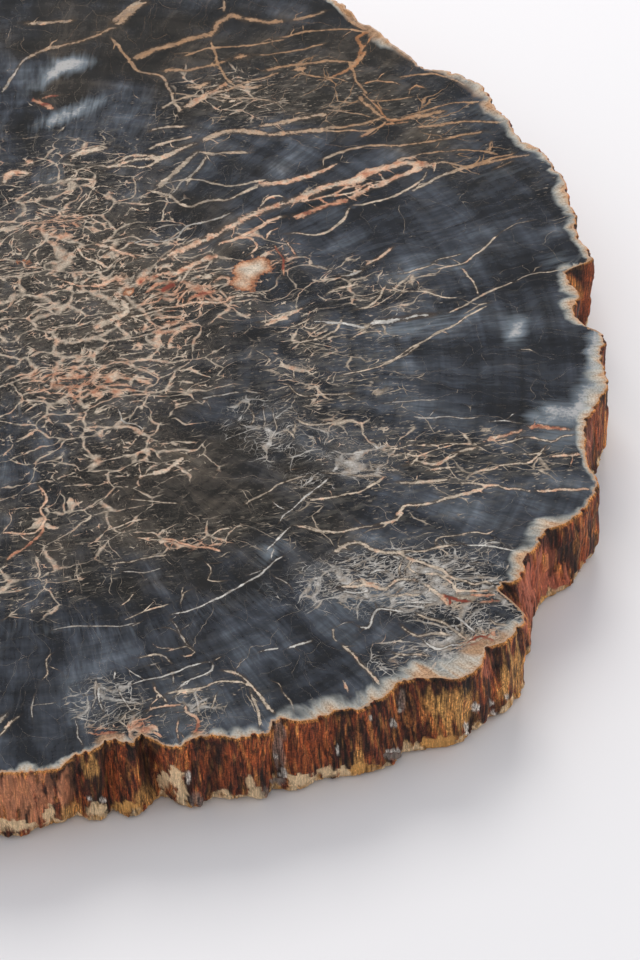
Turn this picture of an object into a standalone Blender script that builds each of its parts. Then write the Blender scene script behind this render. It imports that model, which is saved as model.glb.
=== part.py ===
# Petrified wood cheese board: one slice of silicified trunk, sawn flat on both faces and
# left natural round its bark edge. Metres, +Z up. The origin is on the surface that the
# board lies on, under the middle of its box.
#
# The wall is a closed loop round the pith. Every point of it is an angle round the pith
# (degrees, 0 along +X, counted towards +Y) and a radius in millimetres.

import math

import bmesh
import bpy
from mathutils import Vector, noise

MM = 0.001

# Driving dimensions
THICKNESS = 24 * MM
COLUMNS = 420          # wall columns round the loop, 2.2 mm apart
ARRIS = 0.5 * MM       # sawn edge at the rim, just eased
FOOT_EASE = 0.8 * MM   # lower edge, worn rounder than the rim

# Heights of the wall's rings, as shares of the thickness. The two faces close the ends.
RING_HEIGHTS = (0.055, 0.16, 0.31, 0.48, 0.66, 0.83, 0.972)

# The rim of the upper face. Lobes of the bark, and the bites where its edge broke away.
RIM = [
    (62.3, 172.0), (59.6, 167.5), (57.1, 166.0), (55.2, 163.5), (52.0, 161.0),
    (50.6, 159.5), (47.7, 163.0), (44.5, 164.5), (42.5, 163.0), (40.4, 160.5),
    (38.0, 159.5), (36.8, 157.5), (35.1, 157.0), (33.5, 158.5), (31.1, 158.0),
    (27.8, 157.0), (24.1, 153.0), (22.8, 153.0), (21.5, 151.0), (19.2, 150.0),
    (17.6, 150.5), (16.2, 150.5), (15.2, 141.5), (13.5, 142.0), (11.8, 143.0),
    (10.2, 141.0), (8.9, 140.0), (6.8, 142.0), (5.4, 146.0), (2.1, 144.5),
    (-1.5, 145.0), (-3.9, 143.5), (-7.2, 140.5), (-10.1, 140.5), (-12.5, 141.5),
    (-13.7, 143.0), (-15.3, 146.0), (-18.3, 145.5), (-20.2, 144.0), (-21.7, 141.5),
    (-23.1, 139.0), (-26.5, 138.0), (-30.1, 139.5), (-31.1, 138.0), (-32.4, 135.5),
    (-33.1, 142.5), (-33.9, 147.0), (-37.1, 147.5), (-39.3, 145.0), (-41.0, 147.5),
    (-43.0, 147.0), (-45.3, 142.5), (-46.7, 139.0), (-48.2, 137.5), (-50.1, 138.5),
    (-52.6, 138.5), (-54.7, 136.0), (-57.6, 134.5), (-59.5, 131.5), (-60.5, 129.0),
    (-61.3, 133.0), (-64.7, 131.5), (-67.0, 128.0), (-69.3, 128.0), (-70.3, 129.0),
    (-71.8, 127.0), (-72.9, 124.0), (-74.1, 123.0), (-74.8, 125.0), (-76.8, 122.0),
    (-78.4, 124.0), (-80.7, 125.5), (-82.6, 128.5), (-88.1, 129.0),
    (-92.0, 128.5), (-95.0, 130.0), (-101.0, 132.5), (-107.0, 131.5), (-111.0, 129.5),
    (-115.0, 133.5), (-122.0, 137.5), (-129.0, 137.0), (-132.5, 134.5), (-137.0, 139.5),
    (-143.0, 143.5), (-150.0, 143.0), (-154.0, 140.5), (-158.0, 145.5), (-165.0, 148.5),
    (-172.0, 147.0), (-174.5, 144.5), (-179.0, 149.0), (175.0, 150.5), (168.0, 148.0),
    (164.0, 145.5), (160.0, 149.5), (154.0, 153.0), (147.0, 152.5), (143.0, 150.0),
    (138.0, 155.5), (131.0, 159.0), (125.0, 158.5), (122.0, 156.5), (117.0, 162.0),
    (110.0, 165.5), (104.5, 164.5), (102.0, 162.5), (97.0, 168.0), (91.0, 170.0),
    (85.0, 168.5), (83.0, 165.5), (79.0, 171.0), (74.0, 173.0), (68.0, 170.5),
]

# How far the foot lies inside the rim, in millimetres. Below zero the wall flares out,
# most of all under the deep notch at -32 degrees, which closes on its way down.
UNDERCUT = [
    (62.0, 0.5), (45.0, -0.5), (20.0, -0.5), (5.4, -0.5), (-3.9, -1.0), (-12.5, -1.0),
    (-19.0, 0.3), (-22.3, -1.2), (-26.5, -1.6), (-28.8, -3.0), (-31.1, -5.5), (-32.4, -8.5),
    (-33.6, -0.3), (-38.8, -1.8), (-42.0, 1.2), (-45.3, -1.8), (-47.9, -2.8), (-51.1, -0.8),
    (-55.7, 0.0), (-60.5, -0.8), (-61.7, 1.0), (-66.1, 1.0), (-68.4, -0.5), (-71.1, 3.0),
    (-72.9, 0.8), (-74.0, -1.8), (-78.0, -1.7), (-82.5, 3.0), (-88.0, 1.2), (-101.0, 1.0),
    (-111.0, -2.0), (-122.0, 1.5), (-132.5, -1.5), (-143.0, 1.0), (-154.0, -1.5),
    (-165.0, 0.5), (-174.5, -2.0), (175.0, 1.5), (164.0, -2.0), (154.0, 1.0),
    (143.0, -2.5), (131.0, 0.5), (122.0, -2.0), (110.0, 1.5), (102.0, -2.5), (91.0, 1.0),
    (83.0, -2.5), (74.0, 1.5),
]

# Cracks that run down the wall: angle at the rim, angle at the foot, half width, depth
CREVICES = [
    (-73.4, -71.6, 1.1, 3.2), (-60.6, -61.6, 0.9, 1.6), (-81.4, -80.6, 1.0, 1.5),
    (-77.0, -77.6, 0.8, 1.3), (-46.2, -45.6, 0.9, 1.2), (-23.4, -24.6, 0.9, 1.0),
    (38.5, 37.2, 1.0, 1.6), (70.5, 71.2, 1.2, 2.2), (97.5, 96.0, 1.0, 1.8),
    (127.5, 128.4, 1.3, 2.6), (150.5, 149.6, 1.0, 1.7), (171.0, 170.2, 1.1, 2.0),
    (-169.0, -168.0, 1.2, 2.4), (-146.5, -147.2, 1.0, 1.7), (-126.0, -125.2, 1.1, 2.2),
    (-104.0, -104.6, 1.0, 1.6),
]

# Chips out of the lower edge: angle, half width in degrees, height and depth in mm
FOOT_CHIPS = [
    (-84.5, 2.6, 4.0, 1.0), (-71.3, 2.0, 7.5, 1.2), (-67.8, 1.4, 8.5, 1.2),
    (-64.2, 1.8, 5.0, 1.1), (-57.2, 2.0, 6.5, 1.2), (-53.4, 1.4, 6.0, 1.0),
    (-48.5, 1.9, 4.0, 1.0), (-40.3, 2.4, 5.5, 1.4), (-27.0, 1.8, 4.5, 1.0),
    (-17.5, 1.6, 4.0, 1.0), (12.0, 2.2, 5.0, 1.2), (34.0, 2.0, 6.0, 1.3),
    (58.0, 2.4, 5.0, 1.2), (80.0, 2.0, 6.5, 1.6), (99.0, 1.8, 5.0, 1.2),
    (119.0, 2.6, 7.0, 1.8), (140.0, 2.0, 5.0, 1.1), (157.0, 2.2, 6.0, 1.4),
    (178.0, 1.8, 5.0, 1.2), (-163.0, 2.4, 7.0, 1.7), (-150.0, 1.8, 4.5, 1.0),
    (-135.0, 2.2, 6.0, 1.4), (-118.0, 2.0, 5.0, 1.2), (-98.0, 2.6, 6.5, 1.6),
]

# Fluted bark. The flutes show least where RIM already carries them in detail.
FLUTE_PITCH = 8.5          # mm along the wall, from one groove to the next
FLUTE_DEPTH = 1.9          # mm
DETAILED_ARC = (-90, 64)   # degrees of RIM that are drawn lobe by lobe
DETAILED_SHARE = 0.45      # share of the flutes' depth that is left there
LUMP_SIZE = 13.0           # mm, broad unevenness of the wall
LUMP_HEIGHT = 0.9          # mm


def wrapped(angle):
    """The angle in degrees, from -180 up to 180."""
    return (angle + 180) % 360 - 180


def loop_curve(points):
    """A closed, monotone cubic curve through (angle, value) points, as a function."""
    ordered = sorted((wrapped(angle), value) for angle, value in points)
    first, last = ordered[0], ordered[-1]
    knots = [(last[0] - 360, last[1]), *ordered, (first[0] + 360, first[1])]
    gaps = [b[0] - a[0] for a, b in zip(knots, knots[1:])]
    slopes = [(b[1] - a[1]) / gap for a, b, gap in zip(knots, knots[1:], gaps)]
    tangents = []
    for before, after in zip([slopes[-2], *slopes], [*slopes, slopes[1]]):
        flat = before * after <= 0
        tangents.append(0 if flat else 2 * before * after / (before + after))

    def value_at(angle):
        angle = wrapped(angle)
        i = next(k for k in range(len(gaps)) if angle <= knots[k + 1][0])
        t = (angle - knots[i][0]) / gaps[i]
        rise, ease = t * t * (3 - 2 * t), t * (1 - t)
        start = knots[i][1] * (1 - rise) + knots[i + 1][1] * rise
        return start + gaps[i] * ease * (tangents[i] * (1 - t) - tangents[i + 1] * t)

    return value_at


rim_radius = loop_curve(RIM)
undercut = loop_curve(UNDERCUT)


def hump(distance, half_width):
    """1 in the middle, falling smoothly to 0 at half_width and beyond."""
    share = min(abs(distance) / half_width, 1)
    return (1 - share * share) ** 2


def flute_share(angle):
    low, high = DETAILED_ARC
    inside = hump(max(low - angle, 0, angle - high), 12)
    return 1 - (1 - DETAILED_SHARE) * inside


def flutes(angle, drop):
    """Depth in mm of the bark's vertical grooves. They wander a little on their way down."""
    turn = math.radians(angle)
    reach = 145 / FLUTE_PITCH
    place = Vector((math.cos(turn) * reach, math.sin(turn) * reach, drop * 0.5))
    crease = 1 - abs(noise.noise(place)) * 2.6
    fine = noise.noise(place * 2.3 + Vector((7, 3, 5)))
    return FLUTE_DEPTH * flute_share(angle) * (max(crease, 0) ** 1.6 + 0.35 * fine - 0.2)


def lumps(angle, drop):
    turn = math.radians(angle)
    reach = 145 / LUMP_SIZE
    place = Vector((math.cos(turn) * reach, math.sin(turn) * reach, drop * 1.7 + 20))
    return LUMP_HEIGHT * noise.noise(place)


def crevices(angle, drop):
    """Depth in mm of the named cracks, which are deepest halfway down the wall."""
    depth = 0
    for at_rim, at_foot, half_width, deep in CREVICES:
        middle = at_rim + (at_foot - at_rim) * drop
        depth += deep * hump(wrapped(angle - middle), half_width) * (0.5 + 2 * drop * (1 - drop))
    return depth


def foot_chips(angle, height):
    """Depth in mm of the scoops broken out of the lower edge."""
    depth = 0
    for middle, half_width, tall, deep in FOOT_CHIPS:
        across = wrapped(angle - middle) / half_width
        reach = math.hypot(across, height / tall)
        depth = max(depth, deep * hump(reach, 1))
    return depth


def wall_radius(angle, height):
    """Distance from the pith to the wall in metres. Height is in metres above the foot."""
    drop = 1 - height / THICKNESS
    grown_in = min(drop * 5, 1)
    relief = (lumps(angle, drop) - foot_chips(angle, height / MM)) * grown_in
    relief -= crevices(angle, drop) * grown_in
    relief -= flutes(angle, drop) * (1 - DETAILED_SHARE * (1 - grown_in))
    return (rim_radius(angle) - undercut(angle) * drop ** 0.85 + relief) * MM


def edge_inset(height):
    """How far the rim's arris and the worn foot draw the wall's two ends in."""
    if height >= THICKNESS:
        return ARRIS
    if height <= 0:
        return FOOT_EASE
    return 0


def slab_mesh():
    """A capped cylinder, cut into rings, whose every point is moved out to the wall."""
    bm = bmesh.new()
    bmesh.ops.create_cone(
        bm, cap_ends=True, segments=COLUMNS, radius1=1, radius2=1, depth=THICKNESS
    )
    bmesh.ops.translate(bm, vec=(0, 0, THICKNESS / 2), verts=bm.verts)
    for share in RING_HEIGHTS:
        bmesh.ops.bisect_plane(
            bm,
            geom=[*bm.verts, *bm.edges, *bm.faces],
            plane_co=(0, 0, THICKNESS * share),
            plane_no=(0, 0, 1),
        )
    for vert in bm.verts:
        angle = math.degrees(math.atan2(vert.co.y, vert.co.x))
        height = min(max(vert.co.z, 0), THICKNESS)
        radius = wall_radius(angle, height) - edge_inset(height)
        vert.co.xy = Vector((vert.co.x, vert.co.y)).normalized() * radius
    low = [min(vert.co[axis] for vert in bm.verts) for axis in (0, 1)]
    high = [max(vert.co[axis] for vert in bm.verts) for axis in (0, 1)]
    middle = Vector(((low[0] + high[0]) / 2, (low[1] + high[1]) / 2, 0))
    bmesh.ops.translate(bm, vec=-middle, verts=bm.verts)
    bmesh.ops.recalc_face_normals(bm, faces=bm.faces)
    mesh = bpy.data.meshes.new("petrified_wood_slab")
    bm.to_mesh(mesh)
    bm.free()
    print("pith at", [round(-value / MM, 2) for value in middle.xy], "mm from the origin")
    return mesh


def petrified_wood():
    material = bpy.data.materials.new("petrified_wood")
    material.use_nodes = True
    shader = material.node_tree.nodes["Principled BSDF"]
    shader.inputs["Base Color"].default_value = (0.035, 0.038, 0.045, 1)
    shader.inputs["Roughness"].default_value = 0.35
    shader.inputs["Metallic"].default_value = 0
    return material


def main():
    for obj in list(bpy.data.objects):
        bpy.data.objects.remove(obj)
    board = bpy.data.collections.new("petrified_wood_cheese_board")
    bpy.context.scene.collection.children.link(board)
    slab = bpy.data.objects.new("petrified_wood_slab", slab_mesh())
    slab.data.materials.append(petrified_wood())
    slab.data.shade_smooth()
    slab.data.set_sharp_from_angle(angle=math.radians(50))
    board.objects.link(slab)


main()
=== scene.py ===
# Petrified wood cheese board: a slice of silicified trunk, sawn through and polished,
# with its bark edge left as it came out of the ground. Sizes here are millimetres.

import math
import random
from functools import partial

import bpy
import numpy as np
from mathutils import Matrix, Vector, noise
from mathutils.bvhtree import BVHTree
from mathutils.geometry import delaunay_2d_cdt
from mathutils.kdtree import KDTree


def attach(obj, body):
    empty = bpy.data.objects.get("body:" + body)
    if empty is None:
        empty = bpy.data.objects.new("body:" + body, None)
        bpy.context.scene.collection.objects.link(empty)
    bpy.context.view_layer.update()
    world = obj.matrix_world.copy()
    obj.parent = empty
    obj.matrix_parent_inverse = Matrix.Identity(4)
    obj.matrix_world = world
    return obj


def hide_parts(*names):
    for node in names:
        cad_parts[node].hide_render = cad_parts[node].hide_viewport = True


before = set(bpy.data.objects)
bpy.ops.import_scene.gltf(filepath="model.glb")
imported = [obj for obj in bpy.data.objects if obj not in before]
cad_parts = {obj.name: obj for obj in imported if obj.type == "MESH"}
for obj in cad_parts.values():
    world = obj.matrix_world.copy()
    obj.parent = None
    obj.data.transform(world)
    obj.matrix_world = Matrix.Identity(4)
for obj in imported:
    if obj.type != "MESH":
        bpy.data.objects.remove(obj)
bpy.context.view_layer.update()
mm = 0.001


# Camera and the way back from a pixel to the board

lensAndPlace = {
    "lens": 120,                  # a long lens, near to flat in its perspective
    "sensor": 36,
    "tilt": 45,                   # degrees down from level
    "distance": 762,
    "aim": (76.11, -57.31, 24),   # on the polished face, to the right of the pith
    "frame": (640, 960),
    "clipStart": 10,
}
tilt = math.radians(lensAndPlace["tilt"])
focalPixels = lensAndPlace["lens"] / lensAndPlace["sensor"] * lensAndPlace["frame"][1]
aim = np.array(lensAndPlace["aim"], float)
forward = np.array([0, math.cos(tilt), -math.sin(tilt)])
upward = np.array([0, math.sin(tilt), math.cos(tilt)])
eye = aim - forward * lensAndPlace["distance"]


def pixelsOf(points):
    # where points of the board show in the frame
    away = points - eye
    depth = away @ forward
    across = lensAndPlace["frame"][0] / 2 + focalPixels * away[:, 0] / depth
    down = lensAndPlace["frame"][1] / 2 - focalPixels * (away @ upward) / depth
    return np.column_stack([across, down])


def onPolishedFace(pixels):
    # the point of the upper face that each pixel shows
    pixels = np.array(pixels, float)
    right = (pixels[:, 0] - lensAndPlace["frame"][0] / 2) / focalPixels
    up = (lensAndPlace["frame"][1] / 2 - pixels[:, 1]) / focalPixels
    rays = forward + right[:, None] * np.array([1.0, 0, 0]) + up[:, None] * upward
    reach = (slab["thickness"] - eye[2]) / rays[:, 2]
    return (eye + rays * reach[:, None])[:, :2]


# The slab

slab = {
    "node": "petrified_wood_slab",
    "pith": (2.21, -19.71),       # middle of the growth rings
    "thickness": 24,
    "meanRadius": 146,            # by which spacings round the wall become angles
    "nearArc": (-94, 66),         # degrees of the wall that the camera sees close to
    "nearStep": 0.36,             # column spacing there
    "farStep": 0.95,              # and round the back
    "rows": 30,
    "arris": 0.35,                # the sawn edge, just eased
    "fibreRidge": 0.16,           # height of the fine ridges of the wood's fibres
    "barkRidge": 0.32,            # and of the coarser bark ribs
    "splinter": 0.30,             # steps where blocks of bark broke away
    "faceGrid": 3.3,              # spacing of plain points on the polished face
    "innerRings": ((0.7, 2), (1.7, 5)),    # how far inside the rim, at every how many columns
    "veinStep": 1.3,              # spacing of points along a vein
}
pith = np.array(slab["pith"])
thickness = slab["thickness"]


def noiseAt(points, size, seed=0):
    # Perlin noise from -1 to 1 with lumps of the given size, one size for each axis
    scaled = points / np.array(size, float) + seed * 17.3
    return np.array([noise.noise(Vector(point)) for point in scaled.tolist()])


def atHeight(points, height):
    # flat points with a height for their third column
    return np.column_stack([points, np.full(len(points), float(height))])


def stepTowards(angle):
    return np.array([math.cos(angle), math.sin(angle)])


def searchTree(points):
    tree = KDTree(len(points))
    for index, point in enumerate(points):
        tree.insert((point[0], point[1], 0), index)
    tree.balance()
    return tree


def smoothStep(values, low, high):
    share = np.clip((values - low) / (high - low), 0, 1)
    return share * share * (3 - 2 * share)


def columnAngles():
    low, high = (math.radians(edge) for edge in slab["nearArc"])
    angles, angle = [], -math.pi
    while angle < math.pi - 0.004:
        angles.append(angle)
        near = low < angle < high
        angle += (slab["nearStep"] if near else slab["farStep"]) / slab["meanRadius"]
    return np.array(angles)


def wallRadii(angles, drops):
    # the solid's own wall, read by rays from the pith, with its facets rounded off
    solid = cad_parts[slab["node"]].data
    tree = BVHTree.FromPolygons(
        [vertex.co for vertex in solid.vertices], [face.vertices for face in solid.polygons]
    )
    radii = np.zeros((len(angles), len(drops)))
    for row, drop in enumerate(drops):
        height = min(max(thickness * (1 - drop), 0.2), thickness - 0.2)    # clear of the faces
        start = Vector((pith[0] * mm, pith[1] * mm, height * mm))
        for column, angle in enumerate(angles):
            heading = Vector((math.cos(angle), math.sin(angle), 0))
            radii[column, row] = tree.ray_cast(start, heading)[3] / mm
    for _ in range(2):
        radii = (np.roll(radii, 1, 0) + 2 * radii + np.roll(radii, -1, 0)) / 4
    return radii


# Veins of the polished face, as (kind, width, pixels along it)

veinWidths = {"edge": 0.13, "perWidth": 0.205, "broad": 0.07, "wander": 0.6, "wanderOver": 3.2,
              "twigEvery": (8, 22)}       # in steps along a vein
veinTints = {"white": 0.02, "grey": 0.22, "tan": 0.42, "cream": 0.55, "peach": 0.7,
             "rust": 0.86, "red": 1.0}
veins = [
    ("cream", 1.2, [(76, 212), (84, 202), (90, 194), (96, 187), (114, 187)]),
    ("cream", 1.4, [(76, 243), (82, 255), (94, 261), (108, 267)]),
    ("peach", 1.6, [(55, 278), (67, 282), (82, 286), (96, 286), (110, 283), (122, 273)]),
    ("rust", 2.4, [(332, 78), (347, 69), (359, 59), (361, 45), (357, 37), (371, 31), (387, 33)]),
    ("tan", 1.2, [(320, 78), (334, 77), (349, 82)]),
    ("peach", 1.8, [(361, 84), (375, 81), (389, 82), (402, 85)]),
    ("peach", 1.8, [(408, 90), (418, 86), (426, 90)]),
    ("tan", 1.4, [(361, 92), (371, 100), (385, 100), (402, 98), (416, 96)]),
    ("rust", 1.4, [(371, 100), (381, 110), (389, 120), (402, 120), (416, 114)]),
    ("tan", 1.6, [(416, 114), (434, 108), (451, 103), (467, 102), (483, 101)]),
    ("tan", 1.4, [(389, 120), (381, 126), (369, 130), (351, 130), (332, 131), (320, 131)]),
    ("tan", 1.2, [(324, 110), (340, 111), (361, 114), (375, 118)]),
    ("tan", 1.2, [(408, 143), (422, 143), (438, 141)]),
    ("tan", 1.6, [(434, 163), (451, 162), (463, 167), (475, 165), (489, 159), (504, 156), (516, 153)]),
    ("grey", 1.4, [(489, 152), (491, 145), (493, 139)]),
    ("grey", 1.6, [(491, 170), (504, 165), (516, 161)]),
    ("cream", 1.2, [(430, 263), (442, 259), (463, 254)]),
    ("cream", 1.4, [(430, 269), (447, 267), (463, 263), (481, 251), (489, 243), (500, 233)]),
    ("tan", 1, [(500, 233), (512, 226), (524, 222), (536, 220)]),
    ("cream", 1.4, [(459, 267), (469, 276), (475, 288), (480, 296)]),
    ("cream", 1.4, [(447, 314), (463, 306), (479, 297), (496, 289), (514, 282)]),
    ("tan", 1, [(514, 282), (532, 274), (553, 271), (565, 269)]),
    ("cream", 0.9, [(410, 292), (426, 292), (442, 297), (459, 297)]),
    ("tan", 1.2, [(463, 314), (483, 304), (491, 303)]),
    ("tan", 1.8, [(381, 366), (396, 359), (410, 352), (422, 342)]),
    ("tan", 1, [(422, 342), (434, 335), (447, 329), (463, 321)]),
    ("cream", 1, [(367, 475), (379, 478)]),
    ("tan", 1.2, [(363, 534), (371, 529), (381, 527), (391, 521), (396, 518)]),
    ("cream", 1, [(436, 546), (438, 538), (455, 535), (475, 533), (489, 533), (496, 528)]),
    ("tan", 1, [(330, 700), (336, 708)]),
    ("grey", 1.2, [(170, 617), (179, 630), (186, 644), (195, 649)]),
    ("cream", 1, [(41, 683), (48, 673), (47, 660), (53, 653)]),
    ("grey", 0.8, [(36, 692), (34, 706), (33, 719)]),
    ("cream", 1, [(122, 621), (133, 617), (152, 609), (170, 603)]),
    ("peach", 1.6, [(37, 483), (41, 489), (47, 500), (41, 510), (45, 520), (39, 530), (29, 534),
                    (12, 534), (0, 534)]),
    ("rust", 2, [(45, 524), (37, 538), (24, 547), (12, 555), (4, 563)]),
    ("cream", 2.6, [(135, 479), (147, 475), (161, 472), (171, 467), (180, 461), (186, 453)]),
    ("cream", 2.2, [(173, 404), (184, 402), (196, 400)]),
    ("grey", 1.4, [(196, 400), (208, 397), (224, 394), (241, 392)]),
    ("grey", 1, [(118, 406), (122, 422), (135, 424), (147, 432)]),
    ("white", 1.2, [(169, 616), (190, 610), (214, 600), (239, 587), (259, 575), (273, 563),
                    (286, 555)]),
    ("white", 1.4, [(267, 551), (280, 536), (292, 524)]),
    ("grey", 1, [(273, 575), (286, 583), (294, 591)]),
    ("peach", 1.6, [(159, 538), (173, 540), (194, 547), (210, 547), (224, 551)]),
    ("peach", 1.2, [(131, 536), (143, 539), (159, 538)]),
    ("cream", 1, [(102, 532), (116, 528), (131, 522), (151, 518)]),
    ("cream", 1, [(127, 498), (143, 500), (155, 502), (180, 504)]),
    ("tan", 1.2, [(112, 564), (131, 562), (151, 558), (169, 553)]),
    ("grey", 0.8, [(120, 571), (143, 573), (163, 568)]),
    ("tan", 0.9, [(182, 606), (182, 593), (192, 589)]),
    ("cream", 1, [(204, 561), (212, 571), (208, 581), (229, 581)]),
    ("cream", 0.9, [(118, 608), (127, 600), (135, 593)]),
    ("grey", 0.8, [(49, 630), (71, 627), (98, 626), (122, 626), (143, 623)]),
    ("cream", 1, [(206, 539), (220, 530), (233, 526)]),
    ("tan", 0.9, [(0, 622), (12, 614), (22, 616)]),
    ("tan", 4.3, [(147, 0), (132, 10), (116, 26)]),
    ("tan", 2.6, [(141, 0), (127, 10), (109, 25)]),
    ("tan", 2.8, [(116, 26), (103, 33), (83, 40), (60, 46), (40, 51), (26, 58)]),
    ("tan", 2.9, [(23, 23), (36, 23), (53, 22), (76, 20)]),
    ("peach", 3.5, [(26, 23), (41, 23)]),
    ("tan", 2, [(109, 36), (126, 56), (139, 71), (159, 76), (169, 89), (175, 103), (180, 113)]),
    ("tan", 3.8, [(132, 60), (146, 53), (172, 45), (199, 36), (212, 33), (219, 23), (232, 15),
                  (245, 20)]),
    ("peach", 2.6, [(212, 33), (219, 23), (228, 17)]),
    ("tan", 3.5, [(238, 18), (265, 22), (288, 21)]),
    ("peach", 3.2, [(142, 54), (156, 50)]),
    ("tan", 2.6, [(288, 21), (305, 18), (328, 10)]),
    ("tan", 2.6, [(159, 71), (185, 70), (212, 65), (232, 58)]),
    ("peach", 3.8, [(232, 58), (252, 55)]),
    ("tan", 1.9, [(252, 55), (278, 53), (298, 50), (328, 43)]),
    ("tan", 1.9, [(222, 0), (224, 13)]),
    ("cream", 3.2, [(185, 88), (202, 86), (212, 81)]),
    ("peach", 3.5, [(182, 109), (199, 99), (215, 91), (228, 81)]),
    ("cream", 2.6, [(232, 86), (252, 88), (265, 84)]),
    ("peach", 2.9, [(262, 71), (278, 68)]),
    ("cream", 2.6, [(291, 70), (308, 68)]),
    ("tan", 2, [(298, 73), (328, 78)]),
    ("tan", 1.7, [(172, 93), (199, 96), (232, 98), (258, 99), (281, 104)]),
    ("cream", 2.3, [(146, 132), (166, 127), (189, 126)]),
    ("cream", 2.9, [(258, 127), (278, 123), (305, 118), (328, 114)]),
    ("cream", 2, [(146, 149), (172, 141), (195, 137)]),
    ("cream", 3.5, [(199, 142), (212, 136), (228, 131), (245, 132), (272, 134), (298, 132),
                    (328, 129)]),
    ("cream", 3.2, [(199, 142), (185, 147), (166, 156), (146, 159), (126, 162), (106, 169)]),
    ("cream", 3.5, [(66, 156), (86, 152), (109, 147)]),
    ("cream", 2.3, [(116, 162), (132, 156), (159, 154)]),
    ("tan", 2.6, [(199, 149), (185, 162), (172, 175), (156, 187)]),
    ("tan", 2, [(209, 156), (195, 172), (185, 187)]),
    ("tan", 2, [(199, 152), (215, 154), (248, 151)]),
    ("peach", 3.5, [(258, 185), (281, 182), (305, 177), (328, 169)]),
    ("peach", 3.5, [(2, 185), (13, 172), (33, 174)]),
    ("peach", 4.1, [(25, 161), (38, 161)]),
    ("grey", 1.9, [(26, 56), (13, 76), (2, 93)]),
    ("rust", 3.5, [(33, 99), (46, 106), (56, 110)]),
    ("rust", 2.3, [(40, 99), (50, 96), (61, 96)]),
    ("tan", 1.7, [(70, 172), (93, 166), (113, 166)]),
    ("cream", 2, [(50, 185), (73, 179), (99, 180)]),
    ("tan", 1.2, [(242, 506), (262, 495), (287, 481), (309, 475)]),
    ("cream", 1.6, [(309, 501), (334, 497), (359, 492), (374, 484), (385, 477)]),
    ("tan", 1.1, [(320, 473), (348, 475), (377, 477)]),
    ("cream", 1.8, [(294, 524), (320, 531), (348, 531), (370, 526), (395, 520), (403, 508)]),
    ("white", 1.1, [(276, 524), (291, 510), (305, 497), (330, 477)]),
    ("tan", 1.5, [(294, 419), (312, 425), (334, 423), (348, 416)]),
    ("cream", 1.3, [(338, 376), (356, 372), (377, 367), (392, 360), (413, 347), (435, 334), (457, 323),
                    (489, 305)]),
    ("cream", 1.5, [(291, 343), (312, 340), (334, 331), (343, 318)]),
    ("cream", 1.3, [(348, 340), (363, 333), (385, 331)]),
    ("tan", 1.5, [(287, 383), (301, 396), (327, 394), (356, 394)]),
    ("cream", 1.2, [(294, 369), (296, 381)]),
    ("grey", 1.1, [(242, 390), (262, 394)]),
    ("peach", 1.9, [(262, 325), (283, 318), (305, 307)]),
    ("cream", 1.2, [(298, 325), (312, 329), (323, 322)]),
    ("tan", 1.2, [(262, 354), (269, 361), (262, 367)]),
    ("cream", 1.1, [(287, 470), (301, 468)]),
    ("tan", 1.1, [(283, 426), (294, 436), (291, 441)]),
    ("tan", 1, [(251, 408), (254, 419), (247, 426)]),
    ("grey", 0.9, [(262, 405), (265, 419), (262, 430)]),
    ("grey", 0.9, [(273, 408), (276, 426), (269, 441)]),
    ("peach", 4.2, [(164, 259), (184, 248), (211, 237), (224, 230), (246, 217), (278, 206), (304, 197),
                    (327, 187), (356, 180), (380, 170), (409, 163), (438, 166)]),
    ("cream", 2.6, [(164, 258), (179, 250), (188, 246)]),
    ("peach", 2, [(353, 183), (362, 196)]),
    ("cream", 1.8, [(380, 172), (387, 187)]),
    ("peach", 2.2, [(298, 202), (313, 200), (331, 195), (349, 187), (367, 186)]),
    ("rust", 1.8, [(313, 195), (327, 204), (338, 202)]),
    ("peach", 1.8, [(331, 198), (353, 192), (371, 183), (398, 177)]),
    ("cream", 1.4, [(260, 208), (269, 198), (280, 196), (284, 201)]),
    ("peach", 2, [(233, 293), (242, 284), (246, 275)]),
    ("cream", 2, [(186, 284), (195, 277), (206, 275)]),
    ("peach", 2.4, [(146, 293), (157, 284), (168, 282)]),
    ("cream", 1.8, [(175, 306), (184, 293), (193, 286)]),
    ("cream", 2.6, [(311, 194), (327, 187), (338, 186)]),
    ("peach", 2.6, [(356, 177), (369, 170), (387, 169), (402, 159), (420, 159)]),
    ("peach", 2.2, [(365, 190), (387, 183), (407, 172)]),
    ("peach", 2.4, [(215, 246), (233, 239), (246, 235), (260, 226), (275, 219), (289, 217)]),
    ("rust", 3.4, [(289, 218), (304, 215), (324, 206), (349, 200)]),
    ("peach", 3.2, [(349, 199), (369, 188), (402, 175), (425, 167)]),
    ("cream", 1.7, [(351, 206), (376, 202), (402, 192), (420, 181), (429, 170)]),
    ("cream", 1.7, [(351, 206), (344, 219), (331, 230), (315, 235), (298, 233), (284, 233)]),
    ("peach", 1.6, [(218, 248), (224, 242), (246, 237), (255, 242), (256, 250), (246, 257)]),
    ("peach", 1.6, [(264, 242), (269, 233), (280, 227)]),
    ("rust", 1.8, [(275, 244), (280, 255), (284, 262), (283, 277)]),
    ("peach", 1.5, [(284, 239), (291, 248), (298, 257)]),
    ("cream", 5, [(117, 296), (123, 288), (135, 284)]),
    ("cream", 4.4, [(121, 297), (126, 311), (112, 320), (90, 329)]),
    ("peach", 3.8, [(135, 284), (157, 275), (179, 272), (188, 266), (206, 259), (219, 254)]),
    ("cream", 2.2, [(126, 317), (146, 315), (166, 308), (186, 304), (202, 302), (224, 302), (233, 297),
                    (251, 295), (260, 297)]),
    ("rust", 3.6, [(159, 293), (168, 286), (179, 284)]),
    ("peach", 3.2, [(211, 282), (224, 277), (233, 284)]),
    ("peach", 2.4, [(186, 304), (197, 295), (208, 293), (222, 291)]),
    ("peach", 1.8, [(141, 306), (155, 302), (164, 295)]),
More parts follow.
